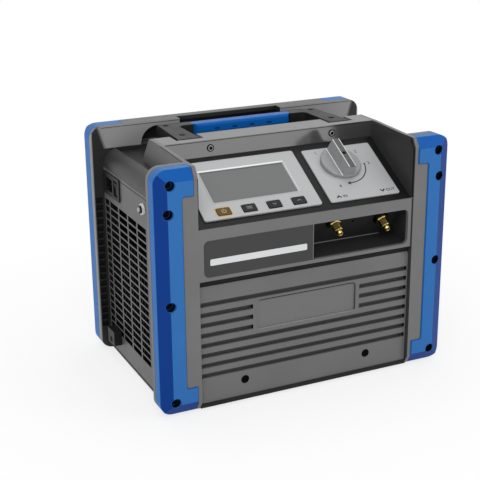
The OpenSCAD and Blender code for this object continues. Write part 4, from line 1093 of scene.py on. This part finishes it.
def add_knob_edges():
    """Painted highlights along the edges of the knob, at the foot and the top of its grip bar."""
    foot = 2.5
    rod = circle(0.5, 8)
    base = on_console(*DIAL, foot)
    along = Matrix.Rotation(math.radians(-90.0), 4, "X")
    edges = Form()
    for across, height, reach in ((9.45, 5.0, 24.6), (4.4, 19.8, 25.4)):
        for side in SIDES:
            start = Matrix.Translation(Vector((across * side, -reach, height)) * MM)
            edges.prism(rod, 0.0, 2 * reach, base @ start @ along)
    edges.piece("knob_highlights", CHROME_AND_HIGHLIGHT, "knob", "knob_silver")


def add_seams():
    """Seams of the ridge, the rear frame and the columns, and a dark line of painted shade beside the lip."""
    proud, sunk, ridge_sunk = 0.08, 0.1, 0.14
    seam_h = 0.7
    ridge_half, ridge_y, ridge_z, ridge_h = COLUMN - 1.5, CONSOLE_SCREW[1], 312.0, 0.8
    rear_inner, rear_outer, rear_z = 76.0, 186.0, 312.6
    column_w = 0.2
    column_front, column_back = (-100.0, 309.5), (-30.0, 312.5)
    lip_gap, lip_w = 0.2, 2.5
    seams = Form()
    seams.slab((-ridge_half, ridge_y - proud, ridge_z),
               (ridge_half, ridge_y + ridge_sunk, ridge_z + ridge_h))
    for side in SIDES:
        seams.slab((rear_inner * side, FLANGE_FACE - proud, rear_z),
                   (rear_outer * side, FLANGE_FACE + sunk, rear_z + seam_h))
        slope = [column_front, column_back]
        slope += [(y, z + seam_h) for y, z in reversed(slope)]
        seams.skin([[(across * side, y, z) for y, z in slope]
                    for across in (GUARD_EDGE - column_w, GUARD_EDGE)])
    # Dark line of painted shade on the right of the lip, where the right column's side stands in shade
    lip_right = COLUMN - lip_gap
    seams.slab((lip_right - lip_w, LIP_FACE - INK_T, LIP_FOOT + lip_gap),
               (lip_right, LIP_FACE + sunk, LIP_TOP - lip_gap))
    seams.piece("seams_and_lip_shade", INK, "casing", "casing_grey")


def add_bay_highlight():
    """Painted highlight along the foot of the port bay's back wall."""
    left, right = 5.0, 124.0
    front, back = -89.1, -88.2
    low, high = 178.7, 179.5
    bead = Form()
    bead.slab((left, front, low), (right, back, high))
    bead.piece("bay_highlight_strip", LEGEND_AND_HIGHLIGHT, "casing", "black_plastic")


def add_grip_marks():
    """Finger marks on the front of the grip."""
    count, pitch = 4, 25.5
    half, low, high = 3.5, 304.9, 306.7
    sunk = 0.15
    marks = Form()
    for i in range(count):
        x = (i - (count - 1) / 2) * pitch
        marks.slab((x - half, GRIP_FACE - INK_T, low), (x + half, GRIP_FACE + sunk, high))
    marks.piece("grip_marks", NAVY, "casing", "guard_blue")


def add_nameplate():
    """Bare pale strip on the dark plate."""
    width, height, corner = 128.8, 8.0, 1.6
    strip_x, strip_z = -69.1, 193.5
    strip = Form()
    strip.prism(rectangle(width, height, corner), 0.0, INK_T * 2, facing(strip_x, LIP_FACE, strip_z, "X", 90))
    strip.piece("plate_strip", WHITE_INK, "casing", "charcoal")


add_screws()
add_sleeves()
add_ports()
add_window()
add_key_marks()
add_dial()
add_knob_edges()
add_seams()
add_bay_highlight()
add_grip_marks()
add_nameplate()
photo_camera()
studio()
